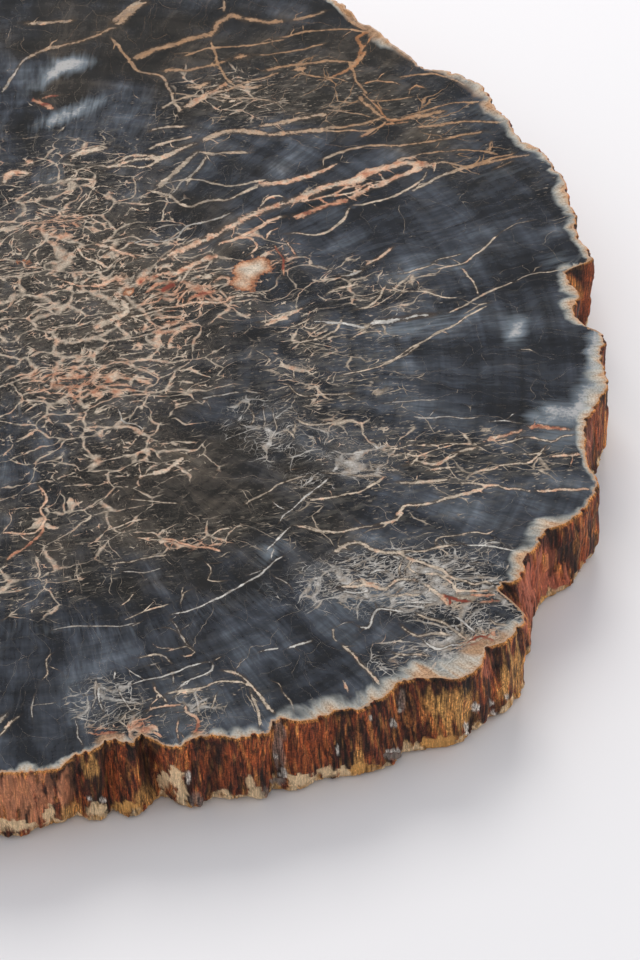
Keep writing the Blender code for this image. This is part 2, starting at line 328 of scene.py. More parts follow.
    ("cream", 1.8, [(197, 262), (188, 271), (179, 284)]),
    ("tan", 2, [(144, 191), (157, 192), (168, 195), (179, 204), (190, 206), (211, 201), (228, 200),
                (246, 191), (260, 183)]),
    ("peach", 2, [(260, 183), (282, 183), (313, 175), (338, 163)]),
    ("tan", 2, [(157, 190), (168, 179), (186, 163), (195, 152)]),
    ("grey", 1.4, [(170, 195), (186, 179), (202, 163), (208, 154)]),
    ("cream", 1.5, [(195, 152), (211, 153), (233, 153), (255, 152)]),
    ("cream", 2.2, [(103, 168), (126, 166), (148, 166), (166, 154), (179, 151)]),
    ("grey", 1.5, [(132, 244), (148, 239), (159, 242), (179, 235), (188, 226), (215, 219), (233, 212)]),
    ("grey", 1.1, [(148, 233), (168, 225), (184, 225)]),
    ("cream", 2, [(159, 262), (168, 257), (179, 248)]),
    ("peach", 3, [(90, 244), (106, 246), (123, 252), (139, 257)]),
    ("cream", 1.8, [(90, 257), (101, 262), (108, 268), (117, 259), (126, 255)]),
    ("peach", 2.8, [(90, 284), (103, 284), (115, 277), (121, 272)]),
    ("peach", 4, [(112, 282), (127, 277)]),
    ("cream", 2, [(253, 324), (282, 316), (304, 307)]),
    ("cream", 1.6, [(260, 326), (291, 317)]),
    ("cream", 1.5, [(286, 329), (304, 322), (313, 315)]),
    ("cream", 1.4, [(324, 295), (342, 288), (360, 284)]),
    ("cream", 1.8, [(353, 310), (373, 304), (382, 293), (387, 284)]),
    ("tan", 1.3, [(387, 284), (402, 291), (423, 291), (438, 297)]),
    ("tan", 1.3, [(402, 284), (420, 277), (438, 274)]),
    ("cream", 1.4, [(396, 275), (414, 271), (438, 262)]),
    ("grey", 2.2, [(338, 275), (351, 275), (365, 268)]),
    ("peach", 2.4, [(365, 266), (380, 257), (391, 248), (394, 245)]),
    ("grey", 1.8, [(315, 264), (329, 268)]),
    ("white", 3.4, [(369, 324), (398, 320), (420, 316), (438, 314)]),
    ("white", 1.6, [(324, 323), (347, 324), (369, 329)]),
    ("rust", 1.6, [(262, 204), (269, 197), (278, 198)]),
    ("cream", 1.3, [(381, 450), (392, 449), (411, 445), (432, 446), (447, 444), (466, 444),
                    (475, 444)]),
    ("cream", 1.3, [(404, 451), (417, 456), (431, 452), (447, 446), (460, 443)]),
    ("cream", 1.6, [(400, 465), (411, 463), (418, 456)]),
    ("cream", 2.2, [(415, 460), (431, 463), (444, 460), (453, 456), (466, 450), (478, 447)]),
    ("cream", 1.5, [(424, 471), (441, 469), (458, 467)]),
    ("peach", 1.6, [(432, 467), (441, 463), (449, 457), (460, 451)]),
    ("cream", 1.6, [(478, 447), (475, 441)]),
    ("peach", 2.6, [(484, 441), (496, 437), (510, 434), (524, 431)]),
    ("rust", 3, [(527, 428), (542, 427), (558, 428), (574, 431)]),
    ("cream", 1.7, [(496, 444), (512, 441), (522, 438), (541, 439), (553, 441), (562, 437),
                    (576, 434)]),
    ("cream", 1.7, [(470, 476), (490, 469), (512, 464), (527, 464), (535, 459), (542, 451),
                    (550, 444)]),
    ("peach", 2.4, [(548, 457), (561, 456), (584, 454)]),
    ("cream", 1.4, [(518, 454), (541, 453), (548, 457)]),
    ("cream", 2.2, [(394, 482), (417, 482), (437, 480), (450, 480)]),
    ("cream", 1.9, [(458, 482), (475, 483), (487, 486), (499, 486), (512, 489), (533, 491)]),
    ("peach", 1.9, [(533, 491), (556, 490), (579, 489), (594, 489)]),
    ("cream", 2, [(487, 486), (472, 492), (457, 496), (444, 500), (431, 503), (415, 505), (403, 507),
                  (395, 517)]),
    ("grey", 1.2, [(411, 417), (431, 418), (444, 417), (469, 418), (483, 416)]),
    ("grey", 1, [(381, 403), (398, 402), (420, 400), (438, 400)]),
    ("white", 1, [(486, 422), (502, 421), (521, 424)]),
    ("cream", 1.1, [(400, 447), (411, 451), (426, 448)]),
    ("cream", 1.1, [(418, 446), (431, 444), (444, 451)]),
    ("tan", 1.1, [(383, 470), (394, 470), (403, 473)]),
    ("tan", 1.2, [(174, 631), (183, 638), (186, 647)]),
    ("cream", 1.2, [(163, 652), (176, 649), (186, 647), (196, 652), (188, 657), (181, 655)]),
    ("tan", 1.3, [(136, 657), (160, 655), (173, 664)]),
    ("grey", 1.1, [(146, 666), (160, 663)]),
    ("white", 1.1, [(128, 685), (146, 680), (163, 676), (176, 672), (188, 666), (201, 663),
                    (211, 662)]),
    ("cream", 1.1, [(213, 662), (223, 656)]),
    ("white", 1.2, [(173, 691), (186, 681), (199, 676), (211, 670), (211, 662)]),
    ("cream", 1.4, [(161, 695), (176, 691), (193, 690), (209, 685), (223, 681), (239, 682),
                    (249, 688)]),
    ("tan", 1.3, [(249, 688), (252, 696), (257, 710), (259, 723), (261, 734)]),
    ("cream", 1.9, [(219, 670), (232, 671), (246, 681), (259, 695), (267, 706), (277, 715)]),
    ("peach", 1.6, [(143, 711), (160, 707), (176, 705), (184, 702)]),
    ("tan", 1.1, [(143, 703), (156, 698)]),
    ("cream", 1.7, [(153, 681), (158, 693), (166, 700), (166, 706)]),
    ("grey", 1.1, [(174, 673), (173, 685)]),
    ("peach", 1.8, [(184, 702), (188, 711), (195, 718), (198, 728), (188, 739), (181, 744)]),
    ("grey", 1.3, [(194, 691), (197, 701), (201, 716)]),
    ("peach", 1.4, [(179, 716), (176, 730), (179, 743)]),
    ("grey", 1, [(160, 720), (166, 713), (170, 710)]),
    ("peach", 1.5, [(153, 730), (163, 738)]),
    ("tan", 1, [(209, 710), (219, 691)]),
    ("tan", 1.1, [(281, 688), (291, 703), (294, 715)]),
    ("white", 1.7, [(287, 648), (299, 644), (312, 640)]),
    ("white", 1.2, [(257, 653), (266, 650), (281, 647)]),
    ("grey", 1.1, [(96, 678), (94, 696), (92, 710)]),
    ("white", 1.3, [(101, 685), (100, 700), (103, 713)]),
    ("white", 1.2, [(115, 670), (116, 680)]),
    ("grey", 1.2, [(118, 690), (126, 705), (133, 713)]),
    ("grey", 1, [(77, 723), (78, 736), (83, 746)]),
    ("cream", 1.3, [(173, 700), (181, 691), (191, 696)]),
    ("cream", 2.4, [(331, 554), (340, 550), (348, 544), (356, 543), (364, 545), (373, 550), (384, 552),
                    (396, 553), (409, 552)]),
    ("cream", 1.6, [(409, 552), (427, 551), (435, 548), (445, 546), (459, 544)]),
    ("white", 1.3, [(459, 544), (479, 545), (496, 547), (512, 551), (524, 553)]),
    ("cream", 1.6, [(339, 546), (347, 550), (354, 548)]),
    ("tan", 1.2, [(438, 541), (435, 546)]),
    ("cream", 2, [(396, 553), (409, 558), (421, 562), (432, 566), (445, 573), (452, 576), (464, 582),
                  (474, 585), (487, 582), (495, 586)]),
    ("white", 1.7, [(391, 554), (401, 560)]),
    ("grey", 1.2, [(331, 564), (343, 563), (353, 558), (363, 557)]),
    ("grey", 1.1, [(333, 571), (345, 569), (362, 571)]),
    ("cream", 2.2, [(336, 587), (349, 587), (361, 585), (373, 585), (384, 590), (392, 583), (401, 579),
                    (412, 580), (419, 581)]),
    ("cream", 2.2, [(419, 581), (427, 587), (437, 594), (445, 601), (449, 606)]),
    ("peach", 2.4, [(352, 581), (362, 580), (368, 583), (378, 586)]),
    ("white", 1.5, [(368, 577), (375, 571), (384, 571), (390, 574)]),
    ("rust", 2.6, [(413, 580), (418, 582), (422, 583)]),
    ("cream", 1.7, [(424, 574), (436, 574), (444, 578), (452, 583), (459, 591), (468, 591), (479, 592),
                    (491, 590), (498, 587)]),
    ("red", 2, [(442, 594), (450, 597), (459, 600), (475, 601)]),
    ("rust", 2.2, [(475, 601), (483, 602), (496, 602), (506, 599)]),
    ("peach", 1.7, [(468, 595), (481, 595), (493, 594), (505, 597)]),
    ("cream", 1.5, [(384, 596), (394, 596), (407, 594), (417, 595), (424, 591)]),
    ("white", 1.8, [(340, 590), (350, 592), (363, 592), (373, 591)]),
    ("grey", 1.3, [(343, 594), (358, 596), (368, 600)]),
    ("white", 1.7, [(357, 624), (367, 627), (371, 623), (373, 615), (378, 610), (391, 611),
                    (407, 613)]),
    ("cream", 1.1, [(378, 610), (375, 601)]),
    ("tan", 2, [(401, 624), (407, 631), (417, 636), (429, 634), (445, 634), (455, 637)]),
    ("tan", 1.9, [(417, 615), (429, 618), (442, 622), (452, 628), (461, 636), (468, 641)]),
    ("white", 1.3, [(449, 615), (460, 619), (470, 628), (478, 634)]),
    ("cream", 1.5, [(391, 651), (396, 654), (407, 655), (419, 655), (432, 656)]),
    ("white", 1.8, [(422, 638), (429, 646), (438, 650), (451, 646), (464, 646)]),
    ("cream", 2.1, [(340, 643), (350, 651), (358, 660), (367, 670), (375, 679), (381, 687)]),
    ("tan", 1.1, [(334, 628), (333, 636), (338, 642)]),
    ("grey", 0.9, [(334, 628), (343, 624), (356, 623)]),
    ("red", 1.5, [(470, 642), (478, 636), (487, 639), (498, 641)]),
    ("peach", 2.6, [(468, 646), (483, 645), (500, 643)]),
    ("tan", 1.4, [(488, 617), (496, 624), (509, 627), (521, 624)]),
    ("white", 1.1, [(489, 622), (488, 632)]),
    ("cream", 1.5, [(438, 659), (429, 670), (419, 678)]),
    ("white", 1.1, [(458, 652), (445, 668), (435, 675)]),
    ("peach", 1.5, [(343, 680), (348, 692)]),
    ("white", 1.2, [(394, 604), (409, 602), (427, 602), (438, 604)]),
    ("white", 1.2, [(396, 608), (412, 606), (429, 608)]),
    ("cream", 1.3, [(401, 560), (398, 569), (401, 577)]),
    ("cream", 1.3, [(412, 558), (407, 567), (417, 573), (424, 574)]),
    ("tan", 2.5, [(262, 70), (301, 64), (333, 61), (358, 64)]),
    ("tan", 2.1, [(192, 102), (243, 84), (282, 72)]),
    ("tan", 3, [(358, 96), (384, 118), (410, 118), (448, 110)]),
    ("tan", 2.3, [(384, 118), (358, 125), (320, 128)]),
    ("tan", 2.3, [(416, 128), (461, 122), (506, 122)]),
    ("tan", 2.1, [(320, 160), (358, 147), (410, 144), (448, 138), (486, 131)]),
    ("tan", 2.2, [(410, 192), (448, 173), (486, 163), (531, 154)]),
    ("tan", 1.8, [(349, 61), (358, 83), (368, 96)]),
    ("tan", 2.8, [(339, 3), (349, 19), (368, 32)]),
    ("tan", 1.8, [(275, 38), (307, 32), (339, 29), (368, 32)]),
    ("tan", 1.8, [(179, 58), (211, 48), (256, 45), (288, 38)]),
    ("peach", 2.5, [(368, 48), (358, 61), (349, 70)]),
    ("tan", 1.7, [(397, 77), (435, 74), (467, 86)]),
    ("tan", 1.8, [(160, 109), (192, 96), (230, 102)]),
    ("tan", 1.6, [(390, 163), (422, 154), (467, 150), (499, 154)]),
    ("tan", 1.7, [(211, 38), (221, 70), (237, 90)]),
    ("rust", 2.1, [(378, 29), (365, 45), (358, 54)]),
    ("tan", 1.6, [(154, 186), (192, 179), (230, 186), (269, 179)]),
    ("peach", 2.1, [(358, 138), (384, 125), (410, 122)]),
]

# Broad fields of the face, as (x, y, half width, half height, turn, strength) in pixels
fields = {
    "breccia": [
        (62, 235, 95, 72, 0, 1.0), (30, 320, 80, 60, 0, 0.9), (120, 295, 60, 38, -20, 0.9),
        (150, 345, 75, 45, -10, 0.9), (80, 388, 85, 34, 0, 0.85), (205, 276, 70, 22, -24, 1.0),
        (268, 250, 40, 16, -20, 0.7), (85, 432, 95, 34, 0, 0.55), (75, 500, 80, 55, 0, 0.38),
        (180, 536, 55, 13, 4, 0.6), (26, 588, 50, 26, 0, 0.6), (235, 92, 55, 22, -15, 0.5),
        (370, 285, 55, 22, -15, 0.5), (365, 448, 55, 26, 0, 0.55), (305, 355, 30, 60, 0, 0.4),
        (150, 455, 60, 20, -8, 0.5), (430, 640, 60, 16, 12, 0.4),
        (105, 735, 14, 7, 0, 0.9), (142, 727, 14, 10, 0, 1.0), (198, 728, 8, 9, 0, 0.8),
        (481, 641, 22, 9, 12, 1.1),
    ],
    "crackle": [
        (390, 575, 95, 26, 8, 1.0), (450, 598, 75, 20, 4, 0.9), (480, 640, 60, 22, 14, 0.8),
        (104, 700, 34, 26, 0, 0.5), (420, 655, 60, 18, 10, 0.5), (190, 712, 40, 30, 0, 0.2),
        (262, 425, 40, 30, 0, 0.4), (330, 460, 60, 30, 0, 0.4),
    ],
    "plates": [
        (182, 706, 62, 42, 0, 0.6), (120, 725, 40, 20, 0, 0.8), (250, 690, 40, 25, 0, 0.4),
        (480, 462, 120, 34, 0, 1.5), (330, 380, 90, 70, 0, 1.1), (430, 120, 80, 34, -20, 0.9),
        (300, 90, 90, 50, 0, 0.8), (400, 300, 80, 40, 0, 0.5), (350, 520, 120, 40, 0, 0.6),
        (60, 560, 120, 60, 0, 0.6), (120, 150, 160, 50, 10, 0.6), (430, 180, 60, 40, 0, 0.3),
        (560, 180, 50, 40, -50, 0.5), (250, 520, 100, 50, 20, 0.4), (450, 560, 70, 40, 0, 0.6),
    ],
    "haze": [
        (66, 66, 30, 9, 12, 1.2), (40, 84, 30, 6, 35, 0.8), (72, 112, 40, 8, 22, 1.1),
        (425, 323, 55, 6, 12, 0.9), (516, 330, 12, 18, -25, 1.1), (536, 421, 15, 6, -8, 0.8),
        (588, 398, 16, 20, 0, 1.4), (562, 412, 26, 10, -10, 1.2), (598, 350, 9, 26, 0, 0.9),
        (562, 438, 30, 14, 0, 0.85), (594, 360, 8, 34, 0, 0.6),
        (380, 598, 60, 16, 8, 0.55), (470, 655, 50, 18, 14, 0.6), (490, 105, 16, 26, -30, 0.6),
        (500, 172, 26, 8, 15, 0.5), (560, 262, 22, 10, 0, 0.6), (270, 552, 20, 9, 35, 0.8),
        (516, 640, 18, 18, 0, 0.6), (400, 358, 34, 26, 0, 0.28), (240, 600, 120, 14, 18, 0.25),
        (60, 628, 110, 9, 0, 0.3), (505, 570, 14, 20, 0, 0.5),
    ],
    "rust": [
        (185, 292, 50, 12, -12, 0.9), (60, 380, 40, 14, 0, 0.4),
        (272, 262, 24, 9, 20, 1.0), (60, 225, 26, 14, 0, 0.7), (170, 325, 26, 22, 0, 0.7),
        (95, 385, 50, 16, 0, 0.7), (462, 600, 30, 6, 8, 0.9), (105, 735, 16, 9, 0, 1.5),
        (142, 727, 15, 11, 0, 1.4), (198, 727, 9, 10, 0, 1.2), (482, 642, 26, 11, 8, 1.6),
        (362, 28, 16, 20, -30, 0.9), (60, 96, 20, 8, 0, 0.8), (358, 12, 26, 12, -40, 0.9),
        (410, 52, 36, 10, -38, 0.9), (470, 96, 34, 10, -36, 0.6), (385, 118, 28, 9, -8, 0.8),
        (200, 545, 40, 9, 4, 0.6), (425, 122, 14, 8, 0, 0.8),
    ],
    "olive": [
        (60, 90, 30, 14, 0, 1.0), (330, 110, 80, 16, -6, 0.5), (100, 300, 190, 140, 0, 0.8),
        (150, 540, 200, 70, 0, 0.75), (470, 655, 70, 22, 0, 0.3), (220, 470, 130, 50, 0, 0.6),
        (330, 60, 200, 60, 10, 0.8), (430, 150, 90, 50, -20, 0.5), (100, 30, 130, 50, 0, 0.8),
    ],
    "gold": [
        (250, 45, 260, 55, 0, 1.0), (430, 110, 100, 45, -25, 1.0), (300, 138, 160, 30, 0, 0.6),
        (500, 170, 60, 30, -30, 0.5),
    ],
    "quartz": [
        (252, 268, 20, 9, 12, 1.2), (243, 285, 14, 7, 0, 0.7), (128, 292, 8, 6, 0, 0.7),
        (22, 262, 9, 5, 0, 0.6), (262, 290, 12, 5, 0, 0.5),
    ],
    "sapwood": [
        (588, 372, 20, 36, 0, 0.75), (588, 432, 18, 24, 0, 0.5), (590, 482, 15, 26, 0, 0.2),
        (540, 540, 42, 22, 45, 1.1), (490, 648, 38, 24, 30, 0.8), (430, 672, 62, 20, 12, 1.2),
        (330, 700, 50, 13, 5, 0.9), (230, 722, 52, 15, 0, 0.4), (120, 738, 50, 13, 0, 0.35),
        (30, 762, 50, 10, 0, 0.3), (568, 212, 42, 16, -60, 0.7), (522, 135, 30, 18, -40, 0.7),
        (566, 290, 20, 34, 0, 0.6), (470, 95, 40, 18, -35, 0.6), (375, 30, 48, 18, -40, 0.6),
    ],
}

# What grows where the frame doesn't reach, in the same habit
unseenVeins = {"seed": 11, "count": 95, "length": (22, 80), "step": 4.5, "bend": 16}
# and its fields, as (patch size, noise seed, noise where a patch starts, noise where it is full,
# strength, strength near the pith)
unseenFields = {
    "breccia": (26, 3, 0.1, 0.45, 0.9, 0.75),
    "crackle": (22, 5, 0.18, 0.4, 0.9, 0),
    "plates": (30, 6, 0.15, 0.4, 0.9, 0),
    "haze": (15, 7, 0.28, 0.5, 0.8, 0),
    "rust": (18, 8, 0.2, 0.45, 0.9, 0),
    "olive": (34, 9, 0.1, 0.4, 0.5, 0.8),
    "sapwood": (24, 10, -0.05, 0.35, 0.9, 0),
}


def smoothLine(points, step):
    # a Catmull-Rom line through the points, cut into even steps
    points = np.asarray(points, float)
    padded = np.vstack([2 * points[0] - points[1], points, 2 * points[-1] - points[-2]])
    fine = []
    for before, a, b, after in zip(padded, padded[1:], padded[2:], padded[3:]):
        for t in np.linspace(0, 1, 12, endpoint=False):
            fine.append(0.5 * (2 * a + (b - before) * t + (2 * before - 5 * a + 4 * b - after)
                               * t * t + (3 * a - before - 3 * b + after) * t ** 3))
    fine = np.array(fine + [points[-1]])
    run = np.concatenate([[0], np.cumsum(np.hypot(*np.diff(fine, axis=0).T))])
    count = max(int(run[-1] / step), 2)
    even = np.linspace(0, run[-1], count + 1)
    return np.column_stack([np.interp(even, run, fine[:, axis]) for axis in (0, 1)])


def wandered(line, seed):
    # a crack never runs quite straight: push the points off the line a little
    shift = [noiseAt(atHeight(line, 0), veinWidths["wanderOver"], seed + axis) for axis in (0, 1)]
    return line + np.column_stack(shift) * veinWidths["wander"]


def grownVeins(rimReach):
    # cracks that spread outwards from the core, on the part that the frame leaves out
    chance = random.Random(unseenVeins["seed"])
    grown = []
    while len(grown) < unseenVeins["count"]:
        turn = chance.uniform(-math.pi, math.pi)
        reach = chance.uniform(8, 125)
        spot = pith + reach * stepTowards(turn)
        heading = turn + chance.gauss(0, 0.7)
        line = [spot]
        bend = chance.gauss(0, 0.08)
        for _ in range(int(chance.uniform(*unseenVeins["length"]) / unseenVeins["step"])):
            bend = 0.7 * bend + chance.gauss(0, math.radians(unseenVeins["bend"]) * 0.5)
            heading += bend
            spot = spot + unseenVeins["step"] * stepTowards(heading)
            away = spot - pith
            if math.hypot(*away) > rimReach(math.atan2(away[1], away[0])) - 2:
                break
            line.append(spot)
        seen = pixelsOf(atHeight(line, thickness))
        if len(line) < 4 or ((seen > -14).all(1) & (seen[:, 1] < 700)).any():
            continue
        kind = chance.choice(["cream", "cream", "tan", "peach", "grey", "tan", "rust"])
        grown.append((kind, chance.choice([0.9, 1.1, 1.4, 1.8, 2.6]), np.array(line)))
    return grown


def twigsOf(kind, width, line, number):
    # short side cracks that leave a vein at a slant
    chance = random.Random(900 + number)
    twigs = []
    place = chance.uniform(1, 5)
    while place < len(line) - 2:
        along = line[int(place) + 1] - line[int(place)]
        turn = math.atan2(along[1], along[0]) + chance.choice([-1, 1]) * chance.uniform(0.35, 1.0)
        turn += chance.choice([0, 0, math.pi])
        spot = line[int(place)]
        twig = [spot]
        for _ in range(chance.randint(2, 4)):
            turn += chance.gauss(0, 0.35)
            spot = spot + slab["veinStep"] * chance.uniform(0.8, 1.3) * stepTowards(turn)
            twig.append(spot)
        twigs.append((kind, min(width, 1.1) * chance.uniform(0.45, 0.8), np.array(twig)))
        place += chance.uniform(*veinWidths["twigEvery"])
    return twigs


def allVeins(rimReach):
    drawn = []
    for number, (kind, width, pixels) in enumerate(veins):
        line = wandered(smoothLine(onPolishedFace(pixels), slab["veinStep"]), number)
        drawn.append((kind, width, line))
        drawn += twigsOf(kind, width, line, number)
    for number, (kind, width, line) in enumerate(grownVeins(rimReach)):
        line = smoothLine(line, slab["veinStep"])
        drawn.append((kind, width, wandered(line, 500 + number)))
    return drawn


def ribbonHalf(width):
    return veinWidths["edge"] + veinWidths["perWidth"] * width + veinWidths["broad"] * width ** 2


def meshFace(outline, drawn, grid):
    # flat face inside the outline, cut so that each vein has its own edges to be drawn by
    spots = [Vector(point) for point in outline.tolist()]
    count = len(spots)
    edges = [(i, (i + 1) % count) for i in range(count)]
    rimTree = searchTree(spots)
    polar = np.arctan2(outline[:, 1] - pith[1], outline[:, 0] - pith[0])
    order = np.argsort(polar)
    reach = np.hypot(outline[:, 0] - pith[0], outline[:, 1] - pith[1])[order]
    polar = polar[order]

    def inside(point, margin):
        away = point - pith
        limit = np.interp(math.atan2(away[1], away[0]), polar, reach, period=2 * math.pi)
        clear = math.hypot(*away) < limit
        return clear and rimTree.find((point[0], point[1], 0))[2] > margin

    for margin, every in slab["innerRings"]:
        for index in range(0, count, every):
            inward = pith - outline[index]
            point = outline[index] + inward / np.hypot(*inward) * margin * 1.15
            if inside(point, margin * 0.85):
                spots.append(Vector(point))
    for kind, width, line in drawn:
        along = np.gradient(line, axis=0)
        along /= np.hypot(*along.T)[:, None] + 1e-9
        side = np.column_stack([-along[:, 1], along[:, 0]]) * ribbonHalf(width)
        for rail in (line, line + side, line - side):
            last = None
            for point in rail:
                if not inside(point, 1.0):
                    last = None
                    continue
                spots.append(Vector(point))
                if last is not None:
                    edges.append((last, len(spots) - 1))
                last = len(spots) - 1
    taken = searchTree(spots)
    low, high = outline.min(0), outline.max(0)
    for row, y in enumerate(np.arange(low[1], high[1], grid * 0.866)):
        for x in np.arange(low[0] + (row % 2) * grid / 2, high[0], grid):
            if taken.find((x, y, 0))[2] > grid * 0.5 and inside(np.array([x, y]), 1.5):
                spots.append(Vector((x, y)))
    made = delaunay_2d_cdt(spots, edges, [], 1, 0.01)
    return np.array([tuple(point) for point in made[0]]), made[2], made[3]


def veinMarks(points, drawn):
    # at each point: how far inside a vein it is, and that vein's tint
    strength = np.zeros(len(points))
    tint = np.full(len(points), 0.55)
    for kind, width, line in drawn:
        half = ribbonHalf(width)
        near = np.all((points > line.min(0) - half) & (points < line.max(0) + half), axis=1)
        ids = np.flatnonzero(near)
        if not len(ids):
            continue
        a, b = line[:-1], line[1:]
        run = b - a
        away = points[ids][:, None, :] - a[None]
        share = np.clip((away * run).sum(2) / ((run * run).sum(1) + 1e-9), 0, 1)
        gap = np.sqrt(((away - share[..., None] * run) ** 2).sum(2)).min(1)
        ends = np.minimum(np.hypot(*(points[ids] - line[0]).T), np.hypot(*(points[ids] - line[-1]).T))
        taper = smoothStep(ends, -1.2, 2.5)
        value = np.clip(1 - gap / half, 0, 1) * taper
        stronger = value > strength[ids]
        strength[ids[stronger]] = value[stronger]
        tint[ids[stronger]] = veinTints[kind]
    return strength, tint


def fieldMarks(points, rimGap):
    # the broad fields at each point of a face: painted where the frame sees, grown elsewhere
    flat = atHeight(points, thickness)
    pixels = pixelsOf(flat)
    away = np.hypot(*(points - pith).T)
    unseen = np.maximum(smoothStep(-pixels[:, 0], -6, 30), smoothStep(-pixels[:, 1], -6, 30))
    marks = {}
    for name, blobs in fields.items():
        total = np.zeros(len(points))
        for x, y, wide, high, turn, strength in blobs:
            angle = math.radians(turn)
            dx, dy = pixels[:, 0] - x, y - pixels[:, 1]
            along = (dx * math.cos(angle) + dy * math.sin(angle)) / wide
            over = (-dx * math.sin(angle) + dy * math.cos(angle)) / high
            total += strength * np.exp(-(along ** 2 + over ** 2) ** 1.3)
        marks[name] = total
    core = smoothStep(away, 78, 22)
    for name, (size, seed, low, high, strength, nearPith) in unseenFields.items():
        patches = strength * smoothStep(noiseAt(flat, size, seed), low, high)
        marks[name] += unseen * (nearPith * core + patches)
    marks["rimGap"] = np.clip(rimGap, 0, 25)
    most = {"rimGap": 25, "breccia": 1}
    return {name: np.clip(values, 0, most.get(name, 1.5)) for name, values in marks.items()}


# The bark edge

bark = {
    "colours": {
        "black": "#190e09", "umber": "#361b11", "redBrown": "#5a2717", "rust": "#934723",
        "tan": "#c58748", "gold": "#cb9756", "cream": "#e0c39b", "white": "#c6beb4",
        "salmon": "#c4835f", "grey": "#7b7068", "pink": "#b8684f",
    },
    "ramp": [(0.0, "black"), (0.26, "umber"), (0.5, "redBrown"), (0.74, "rust"), (1.0, "tan")],
    # noises: their lumps in mm round the wall, into it and up it, and their seeds;
    # the leaning ones follow the fibres
    "leaning": {
        "fibres": ((0.7, 0.7, 14), 1), "ribs": ((2.3, 2.3, 15), 2), "frayed": ((0.9, 0.9, 11), 21),
        "tawny": ((0.8, 0.8, 11), 61), "splits": ((1.5, 1.5, 14), 62),
    },
    "upright": {
        "broad": ((7, 7, 14), 4), "crumbs": (0.9, 12), "rough": (1.3, 22),
        "scallops": ((2.2, 2.2, 40), 31), "bites": ((5.5, 5.5, 60), 32),
        "footTint": ((1.6, 1.6, 3), 33), "pits": ((1.6, 1.6, 3), 41),
        "chipFloor": ((1.4, 1.4, 3), 51), "splitGroups": ((4, 4, 9), 63),
    },
    "block": (2.6, 2.6, 7),       # blocks that broke away, in mm
    "lean": 0.12,                 # of the fibres, per mm of height
    "seen": (-100, 19),           # degrees of the wall that the marks below lie on
    "chipDepth": 0.7,
    "lumpHeight": 0.2,
    "pitDepth": 0.5,
    "splitDepth": 0.3,
    "shadedFootInset": 0.3,             # the very foot, set in a little; its colour is darkened there as painted shade where the wall meets the table
}
